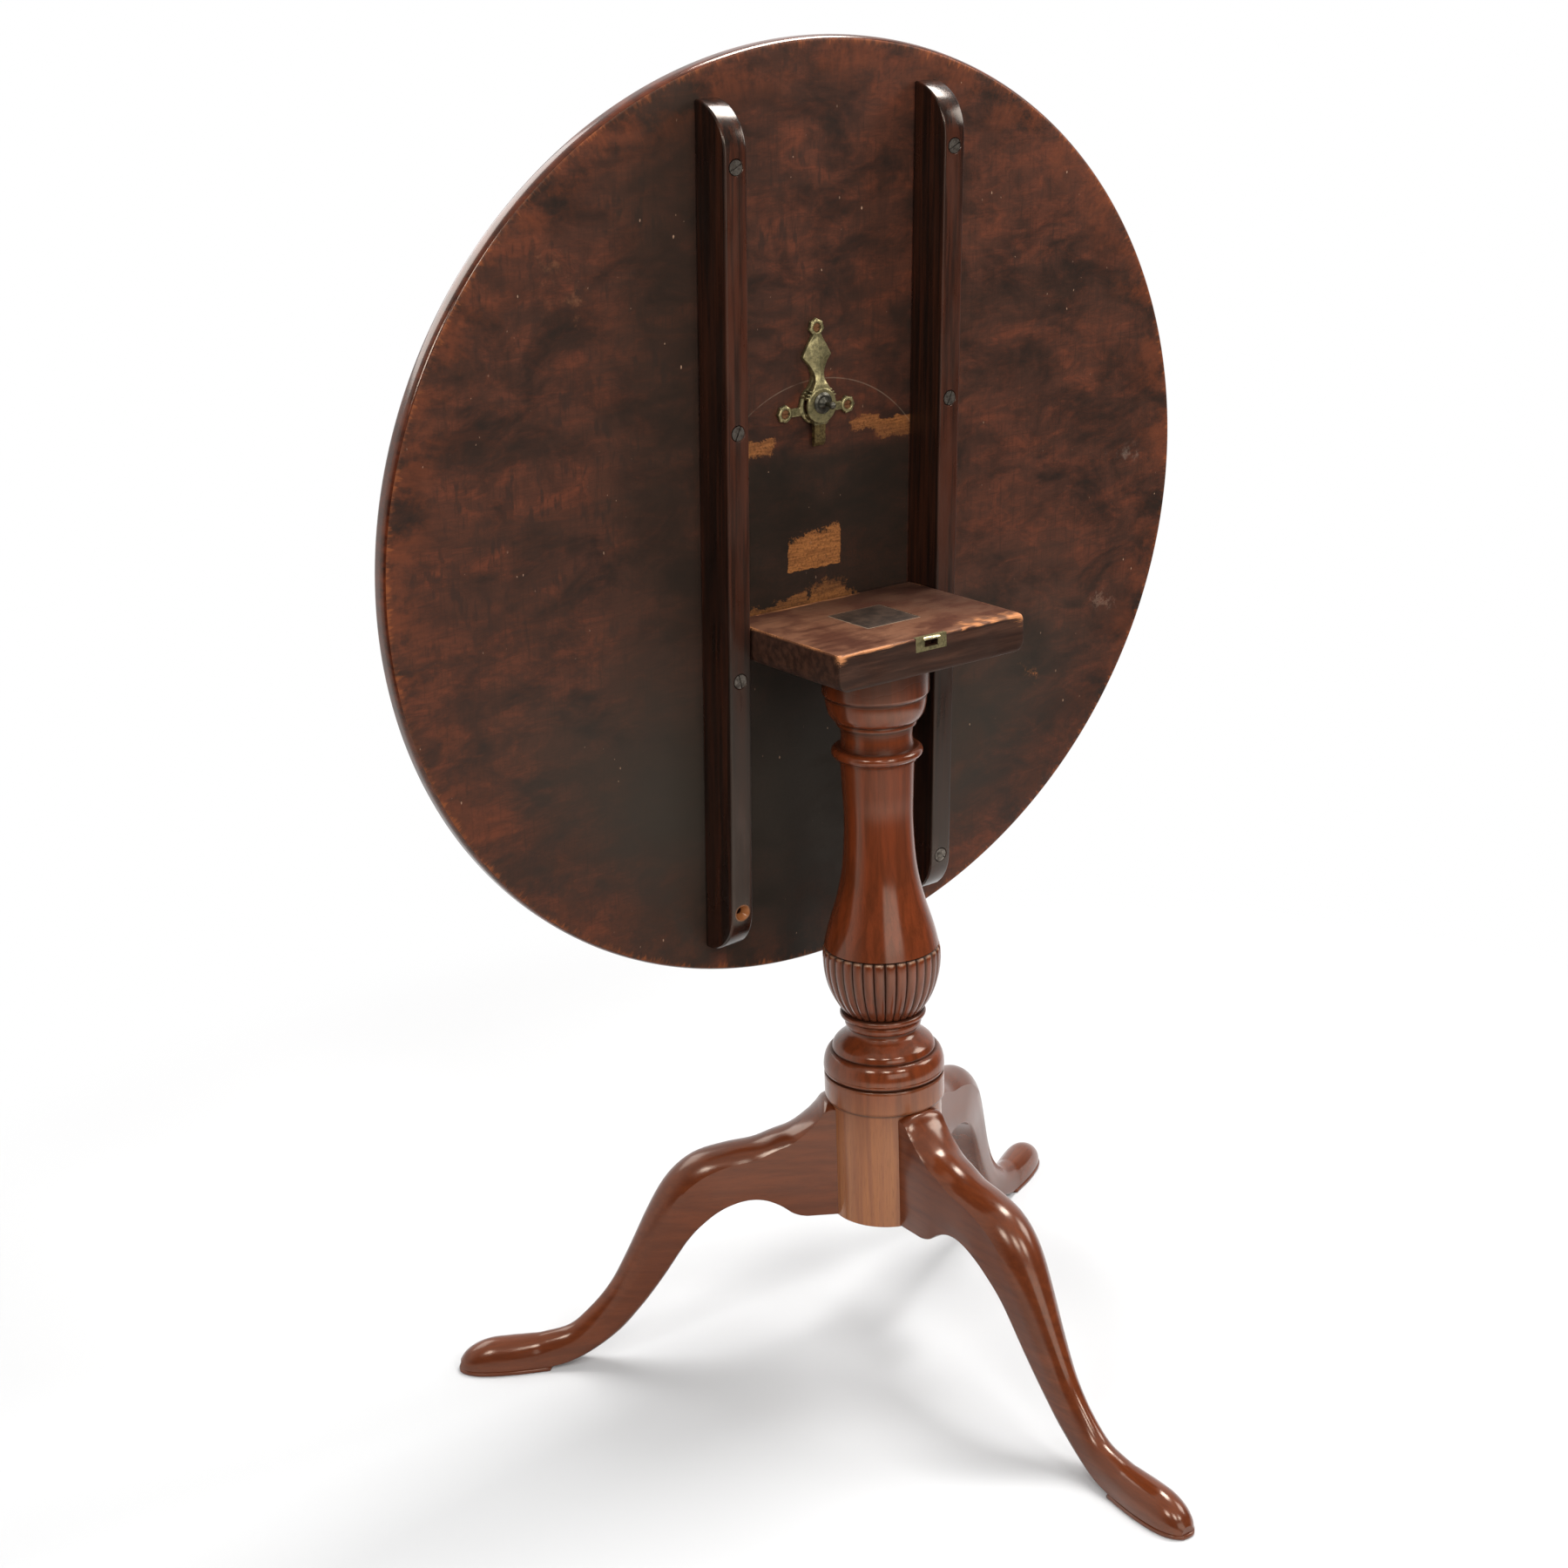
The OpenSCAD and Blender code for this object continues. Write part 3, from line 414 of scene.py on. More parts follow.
def stained_underside():
    """Mahogany board, planed and stained dark underneath. Age has left it blotchy: black
    strokes across the grain, red-brown where the stain has gone, nearly black between the
    bearers, orange along the rim, and ochre patches where something was taken off. Beside
    the left bearer its shadow is painted darker."""
    material, tree, shader = finish("mahogany_stained_underside", Roughness=0.5, IOR=1.45,
                                    Specular_IOR_Level=0.25, Specular_Tint=srgb(AMBER))
    x, y, _ = axes(tree)
    figure = add(tree, "TexNoise", cells(tree, 36, 17, 17), 1.0, 6.0, 0.72, 2.0, 0.7)
    cloud = add(tree, "TexNoise", cells(tree, 84, 56, 56), 1.0, 6.0, 0.7, 2.0, 0.5)
    bands = add(tree, "TexNoise", cells(tree, 380, 40, 40, 5.0), 1.0, 3.0, 0.6, 2.0, 0.9)
    strokes = add(tree, "TexNoise", cells(tree, 8, 26, 26, 9.0), 1.0, 2.0, 0.6)
    drips = add(tree, "TexNoise", cells(tree, 3, 40, 40, 4.0), 1.0, 4.0, 0.7)
    fine = add(tree, "TexNoise", cells(tree, 22, 1.4, 1.4), 1.0, 3.0, 0.65)
    speck = add(tree, "TexNoise", cells(tree, 2.2, 2.2, 2.2, 11.0), 1.0, 3.0, 0.7)
    ragged = add(tree, "TexNoise", cells(tree, 38, 38, 38, 2.0), 1.0, 5.0, 0.7)
    # The edges of dark areas wander 30 mm either way
    wander = add(tree, "MapRange", cloud, 0.3, 0.7, -30.0, 30.0)
    wide, low = (add(tree, "Math", way, wander, operation="ADD") for way in (x, y))
    across = add(tree, "Math", y, TOP_CENTRE, operation="ADD")
    far = length(tree, add(tree, "Math", x, TOP_HALF[0], operation="DIVIDE"),
                 add(tree, "Math", across, TOP_HALF[1], operation="DIVIDE"))
    tone = layered(
        tree, "231b17", ((cloud, 0.32, 0.68), "4b2a1e"),
        ((figure, 0.42, 0.72), (cloud, 0.4, 0.62, 0.2, 0.7), "6c3622"),
        ((bands, 0.5, 0.7, 0.0, 0.45), "2b1f19"),
        ((strokes, 0.52, 0.66), (cloud, 0.46, 0.58), (y, 20.0, -60.0, 0.2, 0.75),
         (x, 130.0, -60.0, 0.35, 1.0), "2b1e19"),
        ((fine, 0.5, 0.72, 0.0, 0.35), "2a1b15"),
        ((drips, 0.5, 0.72, 0.0, 0.5), "2b1d17"),
        ((speck, 0.56, 0.74, 0.0, 0.4), "231812"),
        # Painted shadow of the left bearer, darker beside it
        ((wide, -235.0, -150.0), (x, -110.0, -121.0), 0.65, "2a211b"),
        # Dark and greenish lower down, away from the rim
        ((low, -40.0, 150.0), (far, 0.98, 0.66, 0.0, 0.85), "302b25"),
        # Nearly black between the bearers, up to where a patch was taken off
        ((x, -100.0, -98.0), (x, 100.0, 98.0), (y, -152.0, -128.0),
         (speck, 0.2, 0.6, 0.95, 0.75), "1f1a15"))
    tone = rim_wear(tree, tone, x, y, across, far, ragged)
    tone = bare_wood(tree, tone, x, y, wander, fine, speck)
    tone = old_marks(tree, tone, x, y, across, ragged)
    lay(tree, shader, tone, where(tree, (cloud, 0.35, 0.65, 0.42, 0.58)),
        add(tree, "Math", fine, figure, operation="ADD"), 0.25, 0.25)
    return material


def rim_wear(tree, tone, x, y, across, far, ragged):
    """Orange along the underside's rim, in short rays, and a rubbed line at the edge."""
    inside = add(tree, "MapRange", far, 1.0, 0.0, 0.0, TOP_HALF[1])
    angle = add(tree, "Math", across, x, operation="ARCTAN2")
    around = add(tree, "Math", angle, TOP_HALF[1] / RAY_WIDE, operation="MULTIPLY")
    inward = add(tree, "Math", inside, RAY_LONG, operation="DIVIDE")
    rays = add(tree, "CombineXYZ", around, inward, 0.0)
    rays = add(tree, "TexNoise", rays, 1.0, 4.0, 0.65)
    worn = add(tree, "Math", inside, add(tree, "MapRange", rays, 0.3, 0.7, -6.0, 6.0),
               operation="ADD")
    return layered(tree, tone,
                   ((inside, 60.0, 3.0), (rays, 0.3, 0.7, 0.5, 1.0),
                    (ragged, 0.42, 0.64, 0.0, 0.75), (y, 190.0, -40.0, 0.35, 1.0), "6b3620"),
                   ((worn, 6.0, 1.0), (ragged, 0.4, 0.6, 0.15, 0.65), "8a4a26"))


def bare_wood(tree, tone, x, y, wander, fine, speck):
    """Bare patches on the underside, ochre with dark grain left in them."""
    pale_tone = layered(tree, "9c6335", ((fine, 0.38, 0.66, 0.0, 0.6), "54301b"),
                   ((speck, 0.42, 0.68, 0.0, 0.7), "4a2c19"))
    wander = add(tree, "Math", wander, 0.4, operation="MULTIPLY")
    inward = add(tree, "Math", y, wander, operation="ADD")
    for box, soft, ragged, strength, faded in BARE_PATCHES:
        outer = box[1][0]
        mask = where(tree, *patch(tree, x, y, box, soft, ragged),
                     (inward, outer - 0.1, outer + faded))
        flecked = add(tree, "Math", speck, FLECKS, mask, operation="MULTIPLY_ADD")
        spread = min(MOST_SPREAD, soft / 100)
        edge = (flecked, FLECKED[0] - spread, FLECKED[1] + spread, 0.0, strength)
        tone = layered(tree, tone, (edge, pale_tone))
    return tone


def old_marks(tree, tone, x, y, across, ragged):
    """A circle scribed about the middle when the top was laid out, smudges and nicks."""
    ring = add(tree, "Math", length(tree, x, across), SCRIBED_R, operation="SUBTRACT")
    ring = add(tree, "Math", ring, operation="ABSOLUTE")
    tone = layered(tree, tone, ((ring, 0.7, 0.2), (y, -100.0, -140.0, 0.0, 0.3),
                                (ragged, 0.35, 0.55), "8f7a66"))
    for box, code, strength in MARKS:
        tone = layered(tree, tone, (*patch(tree, x, y, box, 5.0, 12.0),
                                    (ragged, 0.42, 0.62, 0.0, strength), code))
    # Pale nicks and specks, drawn 1 to 2 mm wide to show
    nicks = add(tree, "TexNoise", cells(tree, 2.6, 5.2, 5, 7.0), 1.0, 0.0, 0.5)
    among = add(tree, "TexNoise", cells(tree, 60, 60, 60, 8.0), 1.0, 1.0, 0.5)
    return layered(tree, tone, ((nicks, 0.83, 0.87), (among, 0.5, 0.62, 0.0, 0.8), "a5836a"))


# The orange rays at the rim, across and inward
RAY_WIDE = 5
RAY_LONG = 45.0
# How much the specks break up a bare patch, the level where it starts and is full, and the
# most that a soft edge widens it
FLECKS = 1.2
FLECKED = (1.05, 1.15)
MOST_SPREAD = 0.12
# Patches of bare wood on the underside: x and y ranges, softness, raggedness, strength, and
# how far the patch fades in from its outer end
BARE_PATCHES = [
    (((-31.0, 25.0), (-84.0, -36.6)), 0.8, 1.0, 0.95, 34.0),
    (((-102.0, -44.0), (-158.0, -142.0)), 6.0, 3.0, 0.8, 1.0),
    (((35.0, 104.0), (-162.0, -150.0)), 6.0, 3.0, 0.7, 1.0),
    (((62.0, 104.0), (-160.0, -140.0)), 9.0, 3.0, 0.55, 1.0),
    (((-78.0, 42.0), (-21.0, 8.0)), 7.0, 5.0, 0.55, 12.0),
    (((-10.0, 30.0), (-33.0, 4.0)), 12.0, 7.0, 0.5, 20.0),
]
# Smudges and old marks: x and y ranges, colour, strength
MARKS = [
    (((334.0, 368.0), (-92.0, -82.0)), "9a8c7e", 0.4),
    (((324.0, 348.0), (50.0, 56.0)), "9a7a68", 0.35),
    (((243.0, 249.0), (98.0, 112.0)), "b06a3a", 0.9),
    (((-262.0, -232.0), (-322.0, -280.0)), "8a5a3c", 0.4),
]
SCRIBED_R = 125.0
# Bare wood round the empty screw hole, from and to this far from its middle
HOLE_BARE = (8.4, 6.2)
# The block's top gets dirtier between these sums of across and back
DIRTY = (-40.0, 110.0)


def black_mahogany():
    """Mahogany gone nearly black with age and wax: brown shows along the grain, and dust
    with a painted grey sheen, stronger towards the hinge end, dulls the outer face."""
    material, tree, shader = finish("mahogany_blackened", Roughness=0.38, IOR=1.5,
                                    Specular_IOR_Level=0.45, Specular_Tint=srgb(AMBER))
    _, y, z = axes(tree)
    streak = add(tree, "TexNoise", cells(tree, 5, 160, 5), 1.0, 5.0, 0.65, 2.0, 0.3)
    fine = add(tree, "TexNoise", cells(tree, 0.9, 26, 0.9), 1.0, 3.0, 0.65)
    dust_and_sheen = add(tree, "TexNoise", cells(tree, 14, 60, 14), 1.0, 4.0, 0.6)
    face = UNDERSIDE - BEARER_DEEP
    outer = (z, face + 1.6, face + 0.2)
    hollow = add(tree, "CombineXYZ", -BEARER_X * MM, -SCREW_OUT[EMPTY_HOLE] * MM, face * MM)
    near = add(tree, "VectorMath", add(tree, "TexCoord", out="Object"), hollow,
               operation="DISTANCE", out="Value")
    tone = layered(
        tree, "150c09", ((streak, 0.38, 0.68), "33190f"), ((fine, 0.55, 0.7, 0.0, 0.5), "0d0705"),
        # Dust and a painted grey sheen on the outer face, stronger towards the hinge end
        (outer, (y, -80.0, 120.0, 0.25, 0.8), (dust_and_sheen, 0.3, 0.7, 0.35, 0.9), "261f1b"),
        (outer, (y, 60.0, -120.0, 0.0, 0.75), (streak, 0.4, 0.6, 0.3, 1.0), "452216"),
        ((near, *(r * MM for r in HOLE_BARE)), "8a5530"))
    # Handled ends shine
    end = add(tree, "Math", y, TOP_CENTRE, operation="ADD")
    end = add(tree, "Math", end, operation="ABSOLUTE")
    gloss = where(tree, (dust_and_sheen, 0.3, 0.7, 0.26, 0.42),
                  (end, BEARER_LEN / 2 - 70, BEARER_LEN / 2 - 30, 1.0, 0.6))
    lay(tree, shader, tone, gloss, fine, 0.25, 0.2)
    return material


def worn_block():
    """Mahogany block, stained and never polished: brown-grey on top, darker at the front,
    and rubbed down to orange wood along its arrises."""
    material, tree, shader = finish("mahogany_worn_block", Roughness=0.46, IOR=1.5,
                                    Specular_IOR_Level=0.25, Specular_Tint=srgb(AMBER))
    x, y, z = axes(tree)
    worn = add(tree, "Attribute", attribute_name="worn", out="Fac")
    streak = add(tree, "TexNoise", cells(tree, 120, 7, 7), 1.0, 5.0, 0.62, 2.0, 0.4)
    cloud = add(tree, "TexNoise", cells(tree, 42, 30, 30), 1.0, 4.0, 0.6)
    fine = add(tree, "TexNoise", cells(tree, 16, 1.1, 1.1), 1.0, 3.0, 0.65)
    # Dirtier towards the hinge and the right bearer
    far = add(tree, "Math", add(tree, "Math", x, y, operation="ADD"),
              add(tree, "MapRange", cloud, 0.3, 0.7, -55.0, 55.0), operation="ADD")
    above = layered(tree, "4c2d22", ((cloud, 0.36, 0.62), "6e4833"),
                    ((streak, 0.5, 0.7, 0.0, 0.5), "3a2018"), ((far, *DIRTY, 0.0, 0.7), "2e1e18"))
    # On the block this mask is wear only: the arrises rubbed down to orange wood
    rubbed_and_highlight = add(tree, "Math", worn, where(tree, (fine, 0.3, 0.7, -0.22, 0.22)), operation="ADD")
    tone = layered(tree, "2a1a14", ((streak, 0.36, 0.7), "452c21"),
                   ((z, BLOCK_TOP - 2.5, BLOCK_TOP - 0.8), above),
                   ((fine, 0.55, 0.7, 0.0, 0.45), "1e110c"), ((rubbed_and_highlight, 0.3, 0.8), "b0744a"))
    lay(tree, shader, tone, where(tree, (cloud, 0.35, 0.65, 0.36, 0.56)),
        add(tree, "Math", fine, streak, operation="ADD"), 0.3, 0.25)
    return material


def end_grain():
    """End grain of the pillar's tenon: dark, dry and matt, in a fine grey-brown speckle,
    with a pale line of worn fibres and glue round it."""
    material, tree, shader = finish("mahogany_end_grain", Roughness=0.6, IOR=1.5,
                                    Specular_IOR_Level=0.15)
    speckle = add(tree, "TexNoise", cells(tree, 1.6, 1.6, 1.6), 1.0, 4.0, 0.7)
    cloud = add(tree, "TexNoise", cells(tree, 18, 18, 18), 1.0, 3.0, 0.6)
    out_x, out_y = (add(tree, "Math", way, operation="ABSOLUTE") for way in axes(tree)[:2])
    out = add(tree, "Math", out_x, out_y, operation="MAXIMUM")
    edge = (out, TENON_W / 2 - 1.2, TENON_W / 2 - 0.5, 0.0, 0.6)
    tone = layered(tree, "281e17", ((cloud, 0.35, 0.65), "3f3026"),
                   ((speckle, 0.5, 0.7, 0.0, 0.7), "1c1410"),
                   (edge, (cloud, 0.3, 0.55, 0.4, 1.0), "98806a"))
    lay(tree, shader, tone, None, speckle, 0.3, 0.2)
    return material


def metal(name, bright, dull, grime, roughness, grit):
    """Old metal: bright where it is handled, dull elsewhere, and grimed in patches of
    grit millimetres."""
    material, tree, shader = finish(name, Metallic=0.85, Roughness=roughness)
    cloud = add(tree, "TexNoise", cells(tree, grit, grit, grit), 1.0, 5.0, 0.65)
    speck = grit * 0.2
    fine = add(tree, "TexNoise", cells(tree, speck, speck, speck), 1.0, 3.0, 0.6)
    tone = layered(tree, dull, ((cloud, 0.36, 0.62), bright), ((fine, 0.5, 0.74, 0.0, 0.6), grime))
    gloss = where(tree, (cloud, 0.3, 0.7, roughness + 0.14, roughness - 0.06))
    lay(tree, shader, tone, gloss, add(tree, "Math", fine, cloud, operation="ADD"), 0.3, 0.12)
    return material


UNDER = stained_underside()
# The top is cut across the grain's whole width, so its streaks are long and wide
OVER = polished_mahogany("mahogany_polished_top", (260, 12, 12), "7d3c1d", "4a1f0f", 4.0)
# The rim is polished, but hands have darkened it
RIM = polished_mahogany("mahogany_polished_rim", (120, 9, 9), "5a2612", "2e120a", 6.0)
TENON = end_grain()
# The foot's colours are paler: partly the wood's own tone, partly painted light and sheen
TURNED = polished_mahogany("mahogany_turned_polished", (7, 7, 150), "6f3117", "552611", 1.0,
                           ("9c643e", "845137"))
# The legs are sawn so that the grain runs out from the pillar and down
SAWN = polished_mahogany("mahogany_sawn_polished", (90, 9, 9), "652f16", "522410", 2.0)
BLACK = black_mahogany()
BLOCK = worn_block()
# Cast brass, tarnished to olive, with dirt in its corners
BRASS = metal("brass_cast_tarnished", "a2956a", "6c6446", "322c1d", 0.4, 6.0)
# Brass rubbed bright, and painted paler for the highlight on the keep's lip
BRIGHT = metal("brass_rubbed_highlight", "d8c9a0", "a8966a", "5a4c32", 0.28, 5.0)
# The bolt, rubbed and greasy
BOLT = metal("brass_bolt_browned", "8a7448", "54452c", "2a2115", 0.4, 4.0)
# Knob and its washer are steel, blued and oily
STEEL = metal("steel_blued", "5a564b", "38352d", "1c1a15", 0.36, 5.0)
# Wood screws of iron, brown in the slots
IRON = metal("iron_screw", "7d746a", "4a423b", "241d19", 0.38, 4.0)
# Hand forged strap under the foot, black with scale
WROUGHT = metal("iron_wrought", "2d2a28", "1d1b1a", "3a2418", 0.6, 12.0)
# Small brass screws with a reddish face
COPPERY = metal("brass_screw_reddish", "a9764f", "7c5236", "3a2417", 0.4, 3.0)


# Top

# Faces whose middles are this near the underside or the upper face belong to it
FLAT = 0.6


def oval(inset, height):
    """A ring of the top, so far in from its edge and up from its underside."""
    count = 288
    return [((TOP_HALF[0] - inset) * math.cos(2 * math.pi * k / count),
             (TOP_HALF[1] - inset) * math.sin(2 * math.pi * k / count) - TOP_CENTRE,
             UNDERSIDE + height) for k in range(count)]


def rim_profile():
    """Inset and height of the rounded edge, from the underside to the upper face."""
    low, high = 0.33 * TOP_THICK, 0.62 * TOP_THICK
    quarter = arc(8)
    return ([(RIM_UNDER * (1 - math.sin(a)), low * (1 - math.cos(a))) for a in quarter]
            + [(RIM_OVER * (1 - math.cos(a)), high + (TOP_THICK - high) * math.sin(a))
               for a in quarter])


def table_top():
    inner = [(inset, 0.0) for inset in (330.0, 220.0, 110.0, 40.0, 14.0)]
    outer = [(inset, TOP_THICK) for inset, _ in reversed(inner)]
    points, faces = tube([oval(i, h) for i, h in inner + rim_profile() + outer])
    board = piece("top_board", points, faces, TILT, [UNDER, RIM, OVER], top_finish, 50.0)
    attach(board, "top")
    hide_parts("table_top")


def top_finish(face):
    """Which of the top's materials a face has: underside, rim or upper face."""
    height = face.center.z / MM - UNDERSIDE
    if height < FLAT:
        return 0
    return 2 if height > TOP_THICK - FLAT else 1


# Bearers

def bearer(side):
    """One bearer, with quarter-round ends, softened arrises and sunk screw holes."""
    half = BEARER_LEN / 2
    outline = [(half - BEARER_DEEP + BEARER_DEEP * math.cos(a), BEARER_DEEP * math.sin(a))
               for a in arc(20)]
    outline += [(-y, z) for y, z in reversed(outline)]
    inner = side * (BEARER_X - BEARER_THICK / 2)
    x0 = side * BEARER_X - BEARER_THICK / 2
    rings = [[(x, -TOP_CENTRE - y, UNDERSIDE - z) for y, z in outline]
             for x in (x0, x0 + BEARER_THICK)]
    points, faces = tube(rings)
    name = "left" if side < 0 else "right"
    wood = piece(f"bearer_{name}_wood", points, outward(points, faces), TILT, [BLACK])
    change(wood, "BEVEL", width=1.7 * MM, segments=4, limit_method="ANGLE",
           angle_limit=math.radians(40), use_clamp_overlap=False)
    settle(wood)
    tools = []
    for i, out in enumerate(SCREW_OUT):
        hole = EMPTY if side < 0 and i == EMPTY_HOLE else SUNK
        points, faces = tube(turned([(r, z - HOLE_FACE) for r, z in hole], 48))
        points = [(side * BEARER_X + p[0], -out - p[1], UNDERSIDE - BEARER_DEEP - p[2])
                  for p in points]
        tools.append(piece("drill", points, outward(points, faces), TILT, [BLACK]))
    points, faces = tube(turned(PIN_HOLE, 48))
    points = [(inner + side * p[2], p[0], p[1]) for p in points]
    tools.append(piece("drill_pin", points, outward(points, faces), TILT, [BLACK]))
    cut(wood, tools)
    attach(wood, "top")
    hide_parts("bearer_left" if side < 0 else "bearer_right")


# Block

def block():
    """The block, its arrises rubbed round, with room for the tenon and the keep."""
    turn_r = UNDERSIDE - 0.1
    lean = math.radians(90 - TILT_ANGLE)
    front = -BLOCK_FRONT

    def side_view(low):
        """Outline from the side, square in front and round at the hinge."""
        rear = HINGE_BACK + (turn_r + (HINGE_Z - low) * math.sin(lean)) / math.cos(lean)
        back = [(HINGE_BACK + turn_r * math.cos(a), HINGE_Z + turn_r * math.sin(a))
                for a in (mix(lean, math.pi / 2, k / 8) for k in range(9))]
        return [(front, low), (rear, low)] + back + [(front, BLOCK_TOP)]

    # Round lower corners, from the ends in
    stations = [(BLOCK_W / 2 - BLOCK_CORNER * (1 - math.cos(a)),
                 Z_BLOCK + BLOCK_CORNER * (1 - math.sin(a))) for a in arc(8)]
    rings = [[(-x, y, z) for y, z in side_view(low)] for x, low in stations]
    rings += [[(x, y, z) for y, z in side_view(low)] for x, low in reversed(stations)]
    points, faces = tube(rings)
    wood = piece("block_wood", points, faces, STAND, [BLOCK])
    change(wood, "REMESH", mode="VOXEL", voxel_size=1.5 * MM)
    settle(wood)
    rub(wood.data, front)
    # Room for the tenon, the keep's face, its top, and the pocket behind its mouth
    tenon = TENON_W / 2 + 0.25
    plate = KEEP_W / 2 + 0.1
    over = BLOCK_TOP + 5
    mouth_top, mouth_low = (BLOCK_TOP - down for down in MOUTH)
    tools = []
    for low, high in (
            ((-tenon, -tenon, Z_BLOCK - 5), (tenon, tenon, over)),
            ((KEEP_X - plate, front - 5, BLOCK_TOP - KEEP_H - 0.1),
             (KEEP_X + plate, front + 1.3, over)),
            ((KEEP_X - plate, front - 5, BLOCK_TOP - 1.3), (KEEP_X + plate, front + 4.1, over)),
            ((KEEP_X - MOUTH_HALF, front - 5, mouth_low),
             (KEEP_X + MOUTH_HALF, front + 9, mouth_top))):
        points, faces = slab(low, high)
        tools.append(piece("chisel", points, faces, STAND, [BLOCK]))
    cut(wood, tools)
    parts = [wood]
    for side, name in ((-1, "left"), (1, "right")):
        points, faces = tube(turned(PINTLE, 48))
        points = [(side * (BLOCK_W / 2 + p[2]), HINGE_BACK + side * p[0], HINGE_Z + p[1])
                  for p in points]
        parts.append(piece(f"block_pintle_{name}", points, faces, STAND, [BLOCK]))
    for part in parts:
        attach(part, "stand")
        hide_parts("block")


def rub(mesh, front):
    """Rubs the arrises of the block's mesh down and notes how worn each point is."""
    worn = []
    for vertex in mesh.vertices:
        x, y, z = (c / MM for c in vertex.co)
        rough = noise.noise(Vector((x / 9, y / 9, z / 9)))
        wide = noise.noise(Vector((x / 34 + 3, y / 30, z / 30)))
        top, face, end = BLOCK_TOP - z, y - front, BLOCK_W / 2 - abs(x)
        arris = math.hypot(top, face)
        corner = math.sqrt(top ** 2 + face ** 2 + end ** 2)
        flank = math.hypot(top, end)
        rear = math.hypot(top, HINGE_BACK - y)
        # Along the front, at its corners, along the ends, and along most of the rear
        wear = max(math.exp(-arris / (1.9 + 2.0 * wide)) * (0.75 + 0.6 * wide),
                   1.1 * math.exp(-corner / (5 + 3 * rough)),
                   0.45 * math.exp(-flank / 2.0) * (1 + wide),
                   (0.8 + 0.5 * wide) * math.exp(-rear / 2.4) * (1 if -70 < x < 40 else 0.15))
        # Hands have rubbed the right of the front wider
        if x > 30 and top < 1.5:
            wear = max(wear, 0.62 * math.exp(-face / 22) * (0.7 + 1.3 * rough))
        worn.append(held(wear * 1.25))
        depth = 1.1 * math.exp(-arris / 1.6) * (0.8 + 0.8 * wide) + 1.6 * math.exp(-corner / 4)
        vertex.co += Vector((-math.copysign(depth * 0.3 if end < 6 else 0.0, x),
                             depth * 0.6, -depth * 0.7)) * MM
    mesh.attributes.new("worn", "FLOAT", "POINT").data.foreach_set("value", worn)


# Pillar

def bead(r, z0, z1, out):
    """Half round that stands out from a radius, between two heights."""
    return [(r + out * math.sin(a), mix(z0, z1, (1 - math.cos(a)) / 2))
            for a in arc(12, math.pi)]


def ease(r0, z0, r1, z1):
    """Quarter round that leaves its lower end upright."""
    return [(mix(r1, r0, math.cos(a)), mix(z0, z1, math.sin(a))) for a in arc(12)]


def flare(r0, z0, r1, z1):
    """Quarter round that leaves its lower end level and ends upright."""
    return [(mix(r0, r1, math.sin(a)), mix(z1, z0, math.cos(a))) for a in arc(12)]


def bulb(z):
    """Radius of the bulb at a height."""
    return BULB_R * math.sqrt(1 - ((z - (Z_SHAFT - BULB_BELOW)) / BULB_HALF) ** 2)


